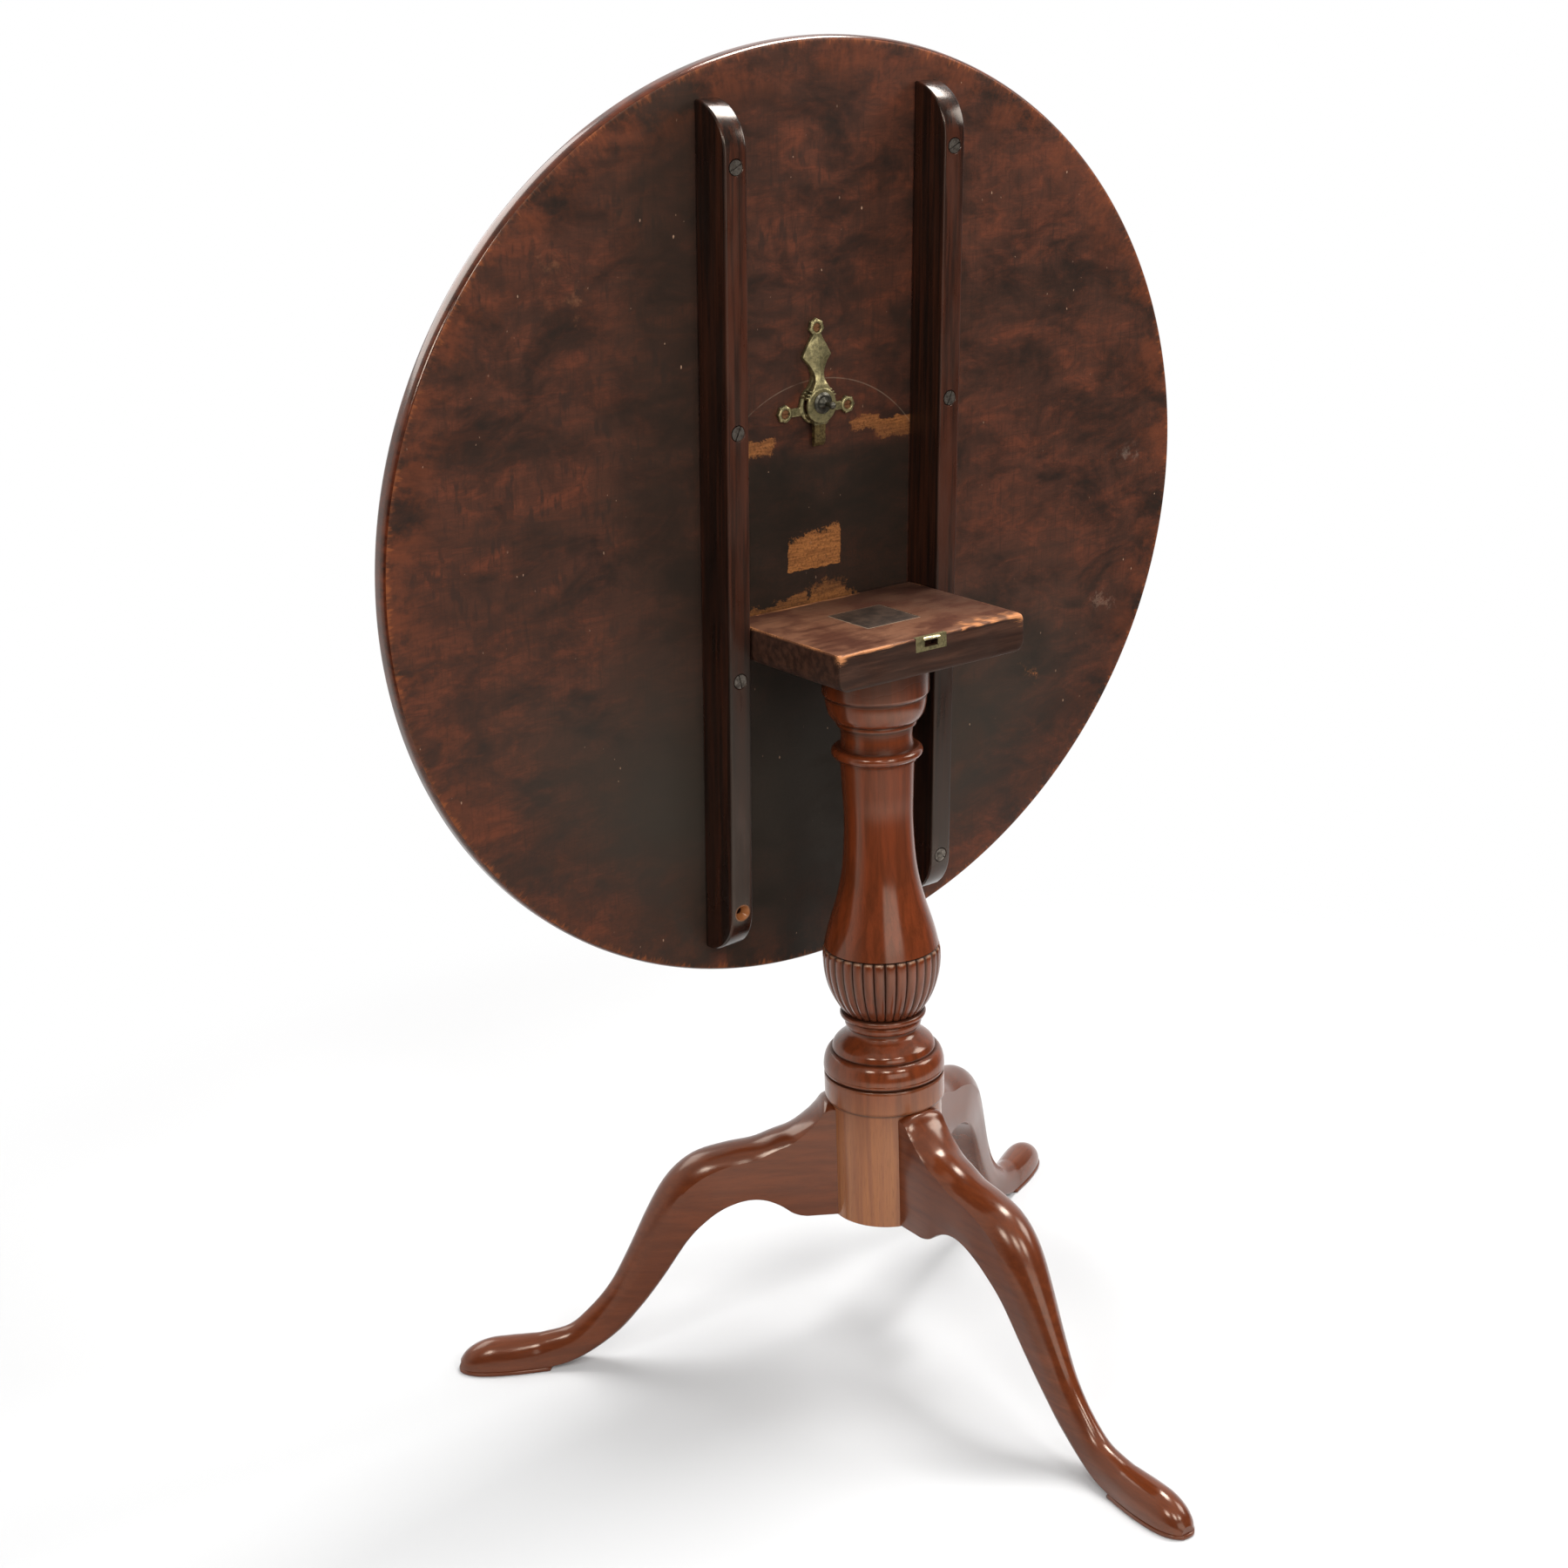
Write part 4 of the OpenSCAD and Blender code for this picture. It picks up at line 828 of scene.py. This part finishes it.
def pillar_profile():
    """Radius, height and depth of the reeding, from the foot up."""
    waist = Z_BULB - Z_WAIST
    # Rows close to the edges of stump and band keep the painted shade and dirt in their quirks
    low = [(44, Z_FOOT), (STUMP_R - 0.5, Z_FOOT), (STUMP_R, Z_FOOT + 0.5),
           (STUMP_R, Z_BAND - 40), (STUMP_R, Z_BAND - 3), (STUMP_R, Z_BAND),
           (BAND_R - 0.6, Z_BAND), (BAND_R, Z_BAND + 0.8), (BAND_R, Z_BAND + 3),
           (BAND_R, Z_TORUS - 3), (BAND_R, Z_TORUS - 0.8),
           (BAND_R - 0.6, Z_TORUS), (BAND_R - 3.6, Z_TORUS + 0.2), (BAND_R - 3.6, Z_TORUS + 2.6)]
    low += bead(BAND_R - 0.6, Z_TORUS + 2.6, Z_TORUS + 6, 0.8)
    low += ease(BAND_R + 0.4, Z_TORUS + 6, BELL_R, Z_BELL)
    low += [(BELL_R - 1.2, Z_BELL), (BELL_R - 1.2, Z_BELL + 1)]
    low += [(mix(WAIST_R, BELL_R - 0.6, way), mix(Z_BELL + 1, Z_WAIST, up))
            for up, way in curve(BELL, 6)]
    low += [(WAIST_R, Z_WAIST + 0.2 * waist)]
    low += bead(WAIST_R + 1, Z_WAIST + 0.2 * waist, Z_WAIST + 0.63 * waist, 2.2)
    low += [(WAIST_R + 2, Z_WAIST + 0.67 * waist)]
    low += bead(WAIST_R + 4.8, Z_WAIST + 0.67 * waist, Z_WAIST + 0.95 * waist, 2.5)
    low += [(bulb(Z_BULB) - 2.4, Z_BULB - 0.4)]
    rows = [(r, z, 0.0) for r, z in low]
    straight = Z_SHAFT - NOSE_LONG
    rows += [(bulb(z), z, REED_DEEP) for z in (mix(Z_BULB, straight, k / 24) for k in range(25))]
    # The reeds end in small round noses under a notch
    rows += [(bulb(Z_SHAFT) - back, straight + rise, REED_DEEP) for rise, back in NOSES]
    rows += [(bulb(Z_SHAFT) - 2.4, Z_SHAFT + 0.3, 0.0), (SHAFT_R + 19.6, Z_SHAFT + 0.6, 0.0)]
    rows += [(SHAFT_R + out, mix(Z_SHAFT + 0.6, Z_ASTRAGAL - 3, up), 0.0)
             for up, out in curve(SHAFT, 6)]
    high = [(SHAFT_R + 3.8, Z_ASTRAGAL - 2.6), (SHAFT_R + 3.8, Z_ASTRAGAL)]
    high += bead(SHAFT_R + 3.8, Z_ASTRAGAL, Z_NECK, ASTRAGAL_R - SHAFT_R - 3.8)
    high += [(SHAFT_R + 1.7, Z_NECK), (SHAFT_R + 0.6, mix(Z_NECK, Z_CUP, 0.45)),
             (SHAFT_R + 1.4, Z_CUP - 2), (CUP_R - 0.8, Z_CUP - 1), (CUP_R - 0.2, Z_CUP + 1),
             (CUP_R - 0.8, Z_CUP + 3), (CUP_R - 0.4, Z_CUP + 3.4)]
    high += flare(CUP_R - 0.4, Z_CUP + 3.4, COLLAR_R - 2.3, Z_COLLAR - 2.6)
    high += [(COLLAR_R - 1.6, Z_COLLAR - 2.2), (COLLAR_R - 0.2, Z_COLLAR),
             (COLLAR_R, Z_COLLAR + 1), (COLLAR_R, Z_BLOCK - 0.4), (COLLAR_R - 0.6, Z_BLOCK - 0.05)]
    return rows + [(r, z, 0.0) for r, z in high]


def pillar():
    """The turned pillar with its reeds, and its tenon through the block."""
    per_reed = 12
    count = REEDS * per_reed
    rings = []
    for r, z, deep in pillar_profile():
        ring = []
        for k in range(count):
            angle = 2 * math.pi * k / count
            across = abs(2 * (k % per_reed) / per_reed - 1)
            radius = r - deep * (1 - math.sqrt(1 - across ** 2))
            ring.append((radius * math.cos(angle), radius * math.sin(angle), z))
        rings.append(ring)
    points, faces = tube(rings)
    place = STAND @ Matrix.Rotation(math.radians(STAND_TURN), 4, "Z")
    wood = piece("pillar_wood", points, faces, place, [TURNED], sharp=42.0)
    soil_shade_and_highlight(wood.data)
    half = TENON_W / 2
    points, faces = slab((-half, -half, Z_BLOCK - 4), (half, half, BLOCK_TOP))
    tenon = piece("pillar_tenon", points, faces, STAND, [TENON])
    change(tenon, "BEVEL", width=0.5 * MM, segments=2)
    settle(tenon)
    for part in (wood, tenon):
        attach(part, "stand")
        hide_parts("pillar")


def soil_shade_and_highlight(mesh):
    """Notes where shade is painted dark, with the old wax that sits there, in the quirks
    between mouldings, between the reeds and at their feet, and where a highlight is
    painted pale on the reeds' noses."""
    shade_and_dirt, rubbed_and_highlight = [], []
    for vertex in mesh.vertices:
        x, y, z = (c / MM for c in vertex.co)
        # A quirk is painted dark for its shade and its old wax
        near = min(abs(z - quirk) for quirk in QUIRKS)
        level, pale_tone = 0.75 * math.exp(-(near / 1.0) ** 2), 0.0
        # Between the reeds, and at their feet under the bulb, shade is painted dark
        if Z_BULB - 1 < z < Z_SHAFT + 0.4:
            sunk = (bulb(min(z, Z_SHAFT)) - math.hypot(x, y)) / REED_DEEP
            foot = 0.5 * math.exp(-(z - Z_BULB) / 7)
            level = max(level, held(1.3 * sunk - 0.1), foot)
            # On the reeds' noses a highlight is painted pale
            if z > Z_SHAFT - 2.6:
                pale_tone = max(0.0, 0.8 - 1.2 * sunk)
                level = held(1.2 * sunk)
        shade_and_dirt.append(min(1.0, level))
        rubbed_and_highlight.append(pale_tone)
    for name, values in (("shade_and_dirt", shade_and_dirt), ("rubbed_and_highlight", rubbed_and_highlight)):
        mesh.attributes.new(name, "FLOAT", "POINT").data.foreach_set("value", values)


# Legs

# Way out and lower edge as shares, depth and slant, width as a share, and how much of
# the depth is rounded over, from the pillar to the toe
LEG = [
    [-0.05, 1.003, 107.3, 0, 1, 0.05], [0.006, 1.003, 107.3, 0, 1, 0.05],
    [0.03, 1.003, 99.6, 0, 1, 0.06], [0.047, 1.003, 94, 0, 1, 0.07],
    [0.075, 1.005, 86.6, 0, 1, 0.09], [0.105, 1.03, 77.4, 0, 1, 0.12],
    [0.14, 1.093, 64.4, 1.7, 1, 0.16], [0.182, 1.138, 52, 8.4, 1.01, 0.22],
    [0.229, 1.143, 49.9, 20, 1.04, 0.25], [0.281, 1.103, 52.3, 31.5, 1.07, 0.3],
    [0.33, 1.016, 50.5, 41.2, 1.02, 0.32], [0.382, 0.869, 43.9, 52.7, 0.89, 0.36],
    [0.451, 0.597, 38.4, 56.7, 0.73, 0.42], [0.514, 0.378, 34.4, 51.7, 0.62, 0.46],
    [0.584, 0.186, 33.3, 41.7, 0.57, 0.5], [0.672, 0.052, 29.3, 21, 0.61, 0.58],
    [0.762, 0, 28.6, 8, 0.69, 0.7], [0.806, 0, 27.2, 3, 0.77, 0.76],
    [0.861, 0, 26.5, 2, 0.84, 0.8], [0.914, 0, 25.3, 0, 0.83, 0.82],
    [0.953, 0, 20.8, 0, 0.74, 0.84], [0.981, 0, 14.3, 0, 0.55, 0.84],
    [0.997, 0, 7, 0, 0.31, 0.84]]
# The pad follows the rows from this one on
LEG_HEEL = 16
LEG_STEPS = 5
# Crowns between which the sharp arris above turns into a round ankle, and between which
# the ankle's round underside turns into the toe's
ANKLE = (0.3, 0.55)
TOE = (0.5, 0.64)


def leg_section(row):
    """One ring of a leg: flat sides, an arris, and a rounded top."""
    out, low, deep, slant, width, crown = row
    half = width * LEG_THICK / 2
    slant = math.radians(slant)
    sole = PAD_H - LEG_SUNK
    low = sole + low * (Z_FOOT - sole)
    out = STUMP_R + out * (LEG_REACH - STUMP_R)
    rise = crown * deep
    ankle = held((crown - ANKLE[0]) / (ANKLE[1] - ANKLE[0]))
    toe = held((crown - TOE[0]) / (TOE[1] - TOE[0]))
    sweep = math.radians(mix(62.0, 88.0, ankle))
    under = mix(1.6, 9.0, ankle * (1 - toe)) if crown < TOE[1] else 1.4
    corner = [(half - under + under * math.sin(a), under * (1 - math.cos(a))) for a in arc(4)]
    flank = [(half, mix(under, deep - rise, t)) for t in (0.35, 0.7, 1.0)]
    section = [(-side, up) for side, up in corner + flank]
    for k in range(-11, 12):
        turn = sweep * k / 12
        round_off = (math.cos(turn) - math.cos(sweep)) / (1 - math.cos(sweep))
        section.append((half * math.sin(turn) / math.sin(sweep), deep - rise + rise * round_off))
    section += reversed(corner + flank)
    # The root is cut off level under the pillar's band
    return [(out + up * math.sin(slant), side, min(low + up * math.cos(slant), Z_BAND - 0.1))
            for side, up in section]


def leg(name):
    """One leg on its pad, a thin sole with a small lip and a quirk above it."""
    rows = curve(LEG, LEG_STEPS)
    points, faces = tube([leg_section(row) for row in rows])
    place = STAND @ Matrix.Rotation(math.radians(STAND_TURN + LEG_TURN[name]), 4, "Z")
    wood = piece(f"leg_{name}_wood", points, faces, place, [SAWN], sharp=24.0)
    feet = rows[LEG_HEEL * LEG_STEPS:]
    right = [(STUMP_R + r[0] * (LEG_REACH - STUMP_R), r[4] * LEG_THICK / 2 + PAD_LIP)
             for r in feet]
    right.insert(0, (right[0][0] - 3, 0.17 * LEG_THICK))
    right.append((LEG_REACH + 0.36 * PAD_LIP, 0.12 * LEG_THICK))
    outline = right + [(LEG_REACH + PAD_LIP, 0)] + [(x, -y) for x, y in reversed(right)]
    middle = 0.86 * LEG_REACH
    rings = [[(middle + (x - middle) * (1 + grow / 50), y * (1 + grow / 17), z)
              for x, y in outline] for grow, z in PAD_RINGS]
    points, faces = tube(rings)
    pad = piece(f"leg_{name}_pad", points, faces, place, [SAWN], sharp=60.0)
    for part in (wood, pad):
        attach(part, "stand")
        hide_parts(f"leg_{name}")


# Metal

# Shield and neck from the far tip to the drum: distance out, half width, and height of
# its sides and of its ridge
SHIELD = [
    [60, 3.0, 2.6, 3.6], [57, 4.9, 3.0, 4.6], [50, 9.4, 3.4, 5.8], [41.4, 14.3, 3.6, 7.0],
    [39.6, 13.6, 3.8, 7.2], [36, 10.2, 4.4, 7.5], [32, 7.5, 5.2, 7.8], [28, 5.6, 6.2, 8.3],
    [24, 4.7, 7.4, 9.0], [20, 5.2, 8.8, 9.9], [17, 7.0, 9.8, 10.7], [12, 10, 10.6, 11.2]]
# Steps on the drum's shoulders: out, and how far from the middle they reach
STEPS = [(12.4, 11.6), (10.0, 13.8), (7.6, 15.4)]
# Nose under the drum, round the bolt, and the lip over it: across, out and up
NOSE = [((-7.5, 7.5), (-15.0, -13.0), (3.4, 9.9)), ((-6.4, 6.4), (-16.4, -13.0), (7.6, 9.0))]
# Room for the bolt and its travel
PASSAGE = ((-6.2, 6.2), (-20.0, 0.0), (3.2, 8.8))
# Openings in the drum's sides: from and to this far from the middle, out and up
WINDOW = ((11.5, 18.0), (-8.0, 5.4), (3.8, 8.6))
# Screws of the catch, across and out, and radius and height of their lugs and seats
LUGS = [(0.0, 64.0), (-32.5, -4.5), (32.5, -4.5)]
LUG = [(6.9, 0.2), (6.9, 3.0), (6.5, 3.7), (5.4, 4.2)]
SEAT = [(3.75, 0.6), (3.75, 2.9), (4.9, 5.0)]
# The roll over the keep's mouth: across, and its thickness there as a share of LIP_R
LIP = ((-8.6, 0.7), (-8.3, 0.92), (-7.6, 1.0), (7.6, 1.0), (8.3, 0.92), (8.6, 0.7))


def on_catch(x, out, high):
    """A point of the catch, from its drum's middle across, out and up from the wood."""
    return (DRUM_X + x, -DRUM_OUT - out, UNDERSIDE - high)


def brass(points, faces):
    return piece("brass", points, outward(points, faces), TILT, [BRASS])


def brass_box(across, out, high):
    """A box on the catch from its ranges across, out and up."""
    return brass(*slab(on_catch(min(across), max(out), max(high)),
                       on_catch(max(across), min(out), min(high))))


def brass_round(profile, x=0.0, out=0.0, count=48):
    """A turned shape on the catch, on the wood at x across and out."""
    points, faces = tube(turned(profile, count))
    return brass([on_catch(x + p[0], out + p[1], p[2]) for p in points], faces)


def cast_catch():
    """The catch's case with its thick ridged shield, stepped shoulders and open sides,
    its edges softened as cast and handled brass is."""
    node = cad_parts["catch_case"]
    case = bpy.data.objects.new("catch_case_cast", node.data.copy())
    bpy.context.scene.collection.objects.link(case)
    case.data.transform(TILT.inverted() @ node.matrix_world)
    case.matrix_world = TILT
    case.data.materials.clear()
    case.data.materials.append(BRASS)
    rings = []
    for out, w, side, ridge in curve(SHIELD, 4):
        slope = (0.45 * w, mix(side, ridge, 0.6))
        right = [(w, 0.2), (w, side), slope]
        section = [(-x, up) for x, up in right] + [(0, ridge)] + right[::-1]
        rings.append([on_catch(x, out, up) for x, up in section])
    casts = [brass(*tube(rings))]
    for side in (-1, 1):
        for out, reach in STEPS:
            casts.append(brass_box((side * 5, side * reach), (out - 0.6, out + 0.6), (0.2, 9.6)))
    casts += [brass_box(*ranges) for ranges in NOSE]
    casts += [brass_round(LUG, *place) for place in LUGS]
    cut(case, casts, "UNION")
    room_r, ceiling = DRUM_R - DRUM_WALL, DRUM_H - DRUM_WALL
    rooms = [brass_round([(room_r, -1.0), (room_r, ceiling)], count=64)]
    rooms += [brass_round(SEAT, *place) for place in LUGS]
    rooms.append(brass_box(*PASSAGE))
    for side in (-1, 1):
        rooms.append(brass_box([side * x for x in WINDOW[0]], *WINDOW[1:]))
    cut(case, rooms)
    change(case, "REMESH", mode="VOXEL", voxel_size=0.36 * MM)
    change(case, "SMOOTH", factor=0.5, iterations=2)
    settle(case, 60.0)
    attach(case, "top")
    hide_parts("catch_case")


def keep_lip():
    """The rolled lip over the keep's mouth, rubbed bright by the bolt, and painted paler for its
    highlight.
    """
    middle = Vector((KEEP_X, 0.4 - BLOCK_FRONT, BLOCK_TOP - MOUTH[0]))
    section = [(LIP_R * math.cos(a), LIP_R * math.sin(a)) for a in arc(12, math.pi)]
    rings = [[tuple(middle + Vector((x, -share * y, share * z))) for y, z in section]
             for x, share in LIP]
    points, faces = tube(rings)
    lip = piece("keep_lip", points, outward(points, faces), STAND, [BRIGHT])
    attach(lip, "stand")


def soften(node, width, material):
    """A CAD node in its better finish, with small bevels along its edges."""
    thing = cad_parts[node]
    for slot in thing.material_slots:
        slot.material = material
    if width:
        change(thing, "BEVEL", width=width * MM, segments=2, limit_method="ANGLE",
               angle_limit=math.radians(40))


table_top()
for side in (-1, 1):
    bearer(side)
block()
pillar()
for name in LEG_TURN:
    leg(name)
cast_catch()
keep_lip()
soften("bearer_screws_left", 0.25, IRON)
soften("bearer_screws_right", 0.25, IRON)
soften("leg_strap", 0.5, WROUGHT)
soften("strap_screws", 0.15, WROUGHT)
soften("catch_bolt", 0.3, BOLT)
soften("catch_knob", 0.0, STEEL)
soften("catch_washer", 0.2, STEEL)
soften("catch_spring", 0.0, STEEL)
soften("catch_screws", 0.15, COPPERY)
soften("keep_plate", 0.2, BRASS)
soften("keep_pins", 0.1, BRASS)


# Floor, light and camera

# Paper's radius in metres, and where it starts and ends to turn into the white room
PAPER_R = 1.25
PAPER_EDGE = (0.75 * PAPER_R, 0.97 * PAPER_R)
# Glow of the paper that brings it up to white. Gloss sees it grow to full in front, from
# and to these metres along Y
FLOOR_GLOW = 0.06
GLOW_FRONT = (0.0, -0.8)
# Strength of the room as a light
ROOM_LIGHT = 0.33
WHITE = (1.0, 1.0, 1.0, 1.0)
# The photograph's view: turn from +Y to +X, dip and roll in degrees, place from the
# pillar's foot in millimetres, and focal length in pixels of a frame that is FRAME wide
VIEW_ANGLES = (35.718, 18.486, -1.981)
VIEW_PLACE = (-1294.45, -1663.46, 1243.95)
VIEW_FOCAL = 2992.37
FRAME = 1800
SENSOR = 36.0


def mirrored(tree, rays):
    """1 for what gloss and glass see."""
    return add(tree, "Math", rays.outputs["Is Glossy Ray"], rays.outputs["Is Transmission Ray"],
               operation="MAXIMUM")


def floor():
    """A round sheet of pale paper. Lit and glowing a little, it looks white to the camera
    but for the table's shadow, and the white room goes on beyond its edge. Gloss sees a
    brighter floor in front of the table."""
    mesh = bpy.data.meshes.new("floor")
    outline = [(PAPER_R * math.cos(a), PAPER_R * math.sin(a), 0)
               for a in (2 * math.pi * k / 96 for k in range(96))]
    mesh.from_pydata(outline, [], [tuple(range(96))])
    ground = bpy.data.objects.new("floor", mesh)
    bpy.context.scene.collection.objects.link(ground)
    material = bpy.data.materials.new("white_paper_floor")
    material.use_nodes = True
    tree = material.node_tree
    tree.nodes.clear()
    rays = add(tree, "LightPath").node
    gloss = mirrored(tree, rays)
    seen = add(tree, "Math", rays.outputs["Is Camera Ray"], gloss, operation="MAXIMUM")
    place = add(tree, "TexCoord", out="Object")
    along = add(tree, "SeparateXYZ", place).node.outputs[1]
    in_front = where(tree, (along, *GLOW_FRONT, FLOOR_GLOW, 1.0))
    glow = add(tree, "Mix", gloss, FLOOR_GLOW, in_front, data_type="FLOAT")
    glow = add(tree, "Emission", WHITE, where(tree, seen, glow))
    paper = add(tree, "AddShader", add(tree, "BsdfDiffuse", srgb("c8c8c8")), glow)
    white = add(tree, "Emission", WHITE, 1.0)
    far = add(tree, "VectorMath", place, operation="LENGTH", out="Value")
    edge = where(tree, (far, *PAPER_EDGE), seen)
    output = tree.nodes.new("ShaderNodeOutputMaterial")
    tree.links.new(add(tree, "MixShader", edge, paper, white), output.inputs["Surface"])
    mesh.materials.append(material)


def room():
    """White background for the camera. Gloss and glass see the room white behind the table,
    pale overhead and dark in front, and everything else is lit by it more softly."""
    world = bpy.data.worlds.new("studio")
    bpy.context.scene.world = world
    world.use_nodes = True
    tree = world.node_tree
    tree.nodes.clear()
    rays = add(tree, "LightPath").node
    toward = add(tree, "SeparateXYZ", add(tree, "TexCoord", out="Generated")).node
    behind = where(tree, (toward.outputs[1], -0.3, 0.4, 0.08, 1.0))
    overhead = where(tree, (toward.outputs[2], 0.5, 0.95, 0.0, 0.8))
    shown = add(tree, "Math", behind, overhead, operation="MAXIMUM")
    strength = add(tree, "Mix", mirrored(tree, rays), ROOM_LIGHT, shown, data_type="FLOAT")
    strength = add(tree, "Mix", rays.outputs["Is Camera Ray"], strength, 1.0, data_type="FLOAT")
    output = tree.nodes.new("ShaderNodeOutputWorld")
    tree.links.new(add(tree, "Background", WHITE, strength), output.inputs["Surface"])


def lamp(name, place, aim, size, watts):
    """A soft oblong lamp, with its place, aim and size in metres."""
    light = bpy.data.lights.new(name, "AREA")
    light.shape = "RECTANGLE"
    light.size, light.size_y = size
    light.energy = watts
    thing = bpy.data.objects.new(name, light)
    bpy.context.scene.collection.objects.link(thing)
    thing.location = place
    thing.rotation_euler = (Vector(aim) - Vector(place)).to_track_quat("-Z", "Y").to_euler()


def camera():
    """The photograph's view."""
    turn, dip, roll = (math.radians(a) for a in VIEW_ANGLES)
    ahead = Vector((math.sin(turn) * math.cos(dip), math.cos(turn) * math.cos(dip), -math.sin(dip)))
    level = Vector((math.cos(turn), -math.sin(turn), 0))
    upright = level.cross(ahead)
    right = math.cos(roll) * level + math.sin(roll) * upright
    up = -math.sin(roll) * level + math.cos(roll) * upright
    lens = bpy.data.cameras.new("view")
    lens.sensor_fit = "HORIZONTAL"
    lens.sensor_width = SENSOR
    lens.lens = VIEW_FOCAL * SENSOR / FRAME
    thing = bpy.data.objects.new("view", lens)
    bpy.context.scene.collection.objects.link(thing)
    facing = Matrix((right, up, -ahead)).transposed()
    thing.matrix_world = STAND @ Matrix.Translation(Vector(VIEW_PLACE) * MM) @ facing.to_4x4()
    bpy.context.scene.camera = thing


floor()
room()
lamp("above", (0.75, 0.25, 2.5), (0, 0.1, 0.4), (0.8, 0.8), 60)
lamp("front_a", (-2.1, -0.75, 2.0), (0, 0, 0.4), (0.55, 0.55), 18)
lamp("front_b", (-1.2, -1.8, 2.2), (0, 0, 0.4), (0.55, 0.55), 18)
lamp("front_c", (0.0, -2.1, 2.0), (0, 0, 0.4), (0.55, 0.55), 18)
lamp("low_front", (-0.6, -2.8, 0.9), (0, 0, 0.2), (2.0, 1.0), 16)
lamp("right", (2.0, -0.9, 1.9), (0, 0, 0.5), (1.0, 1.0), 30)
lamp("back_left", (-0.7, 1.9, 2.0), (0, 0.16, 0.9), (1.6, 1.2), 24)
camera()
bpy.context.scene.view_settings.view_transform = "Standard"
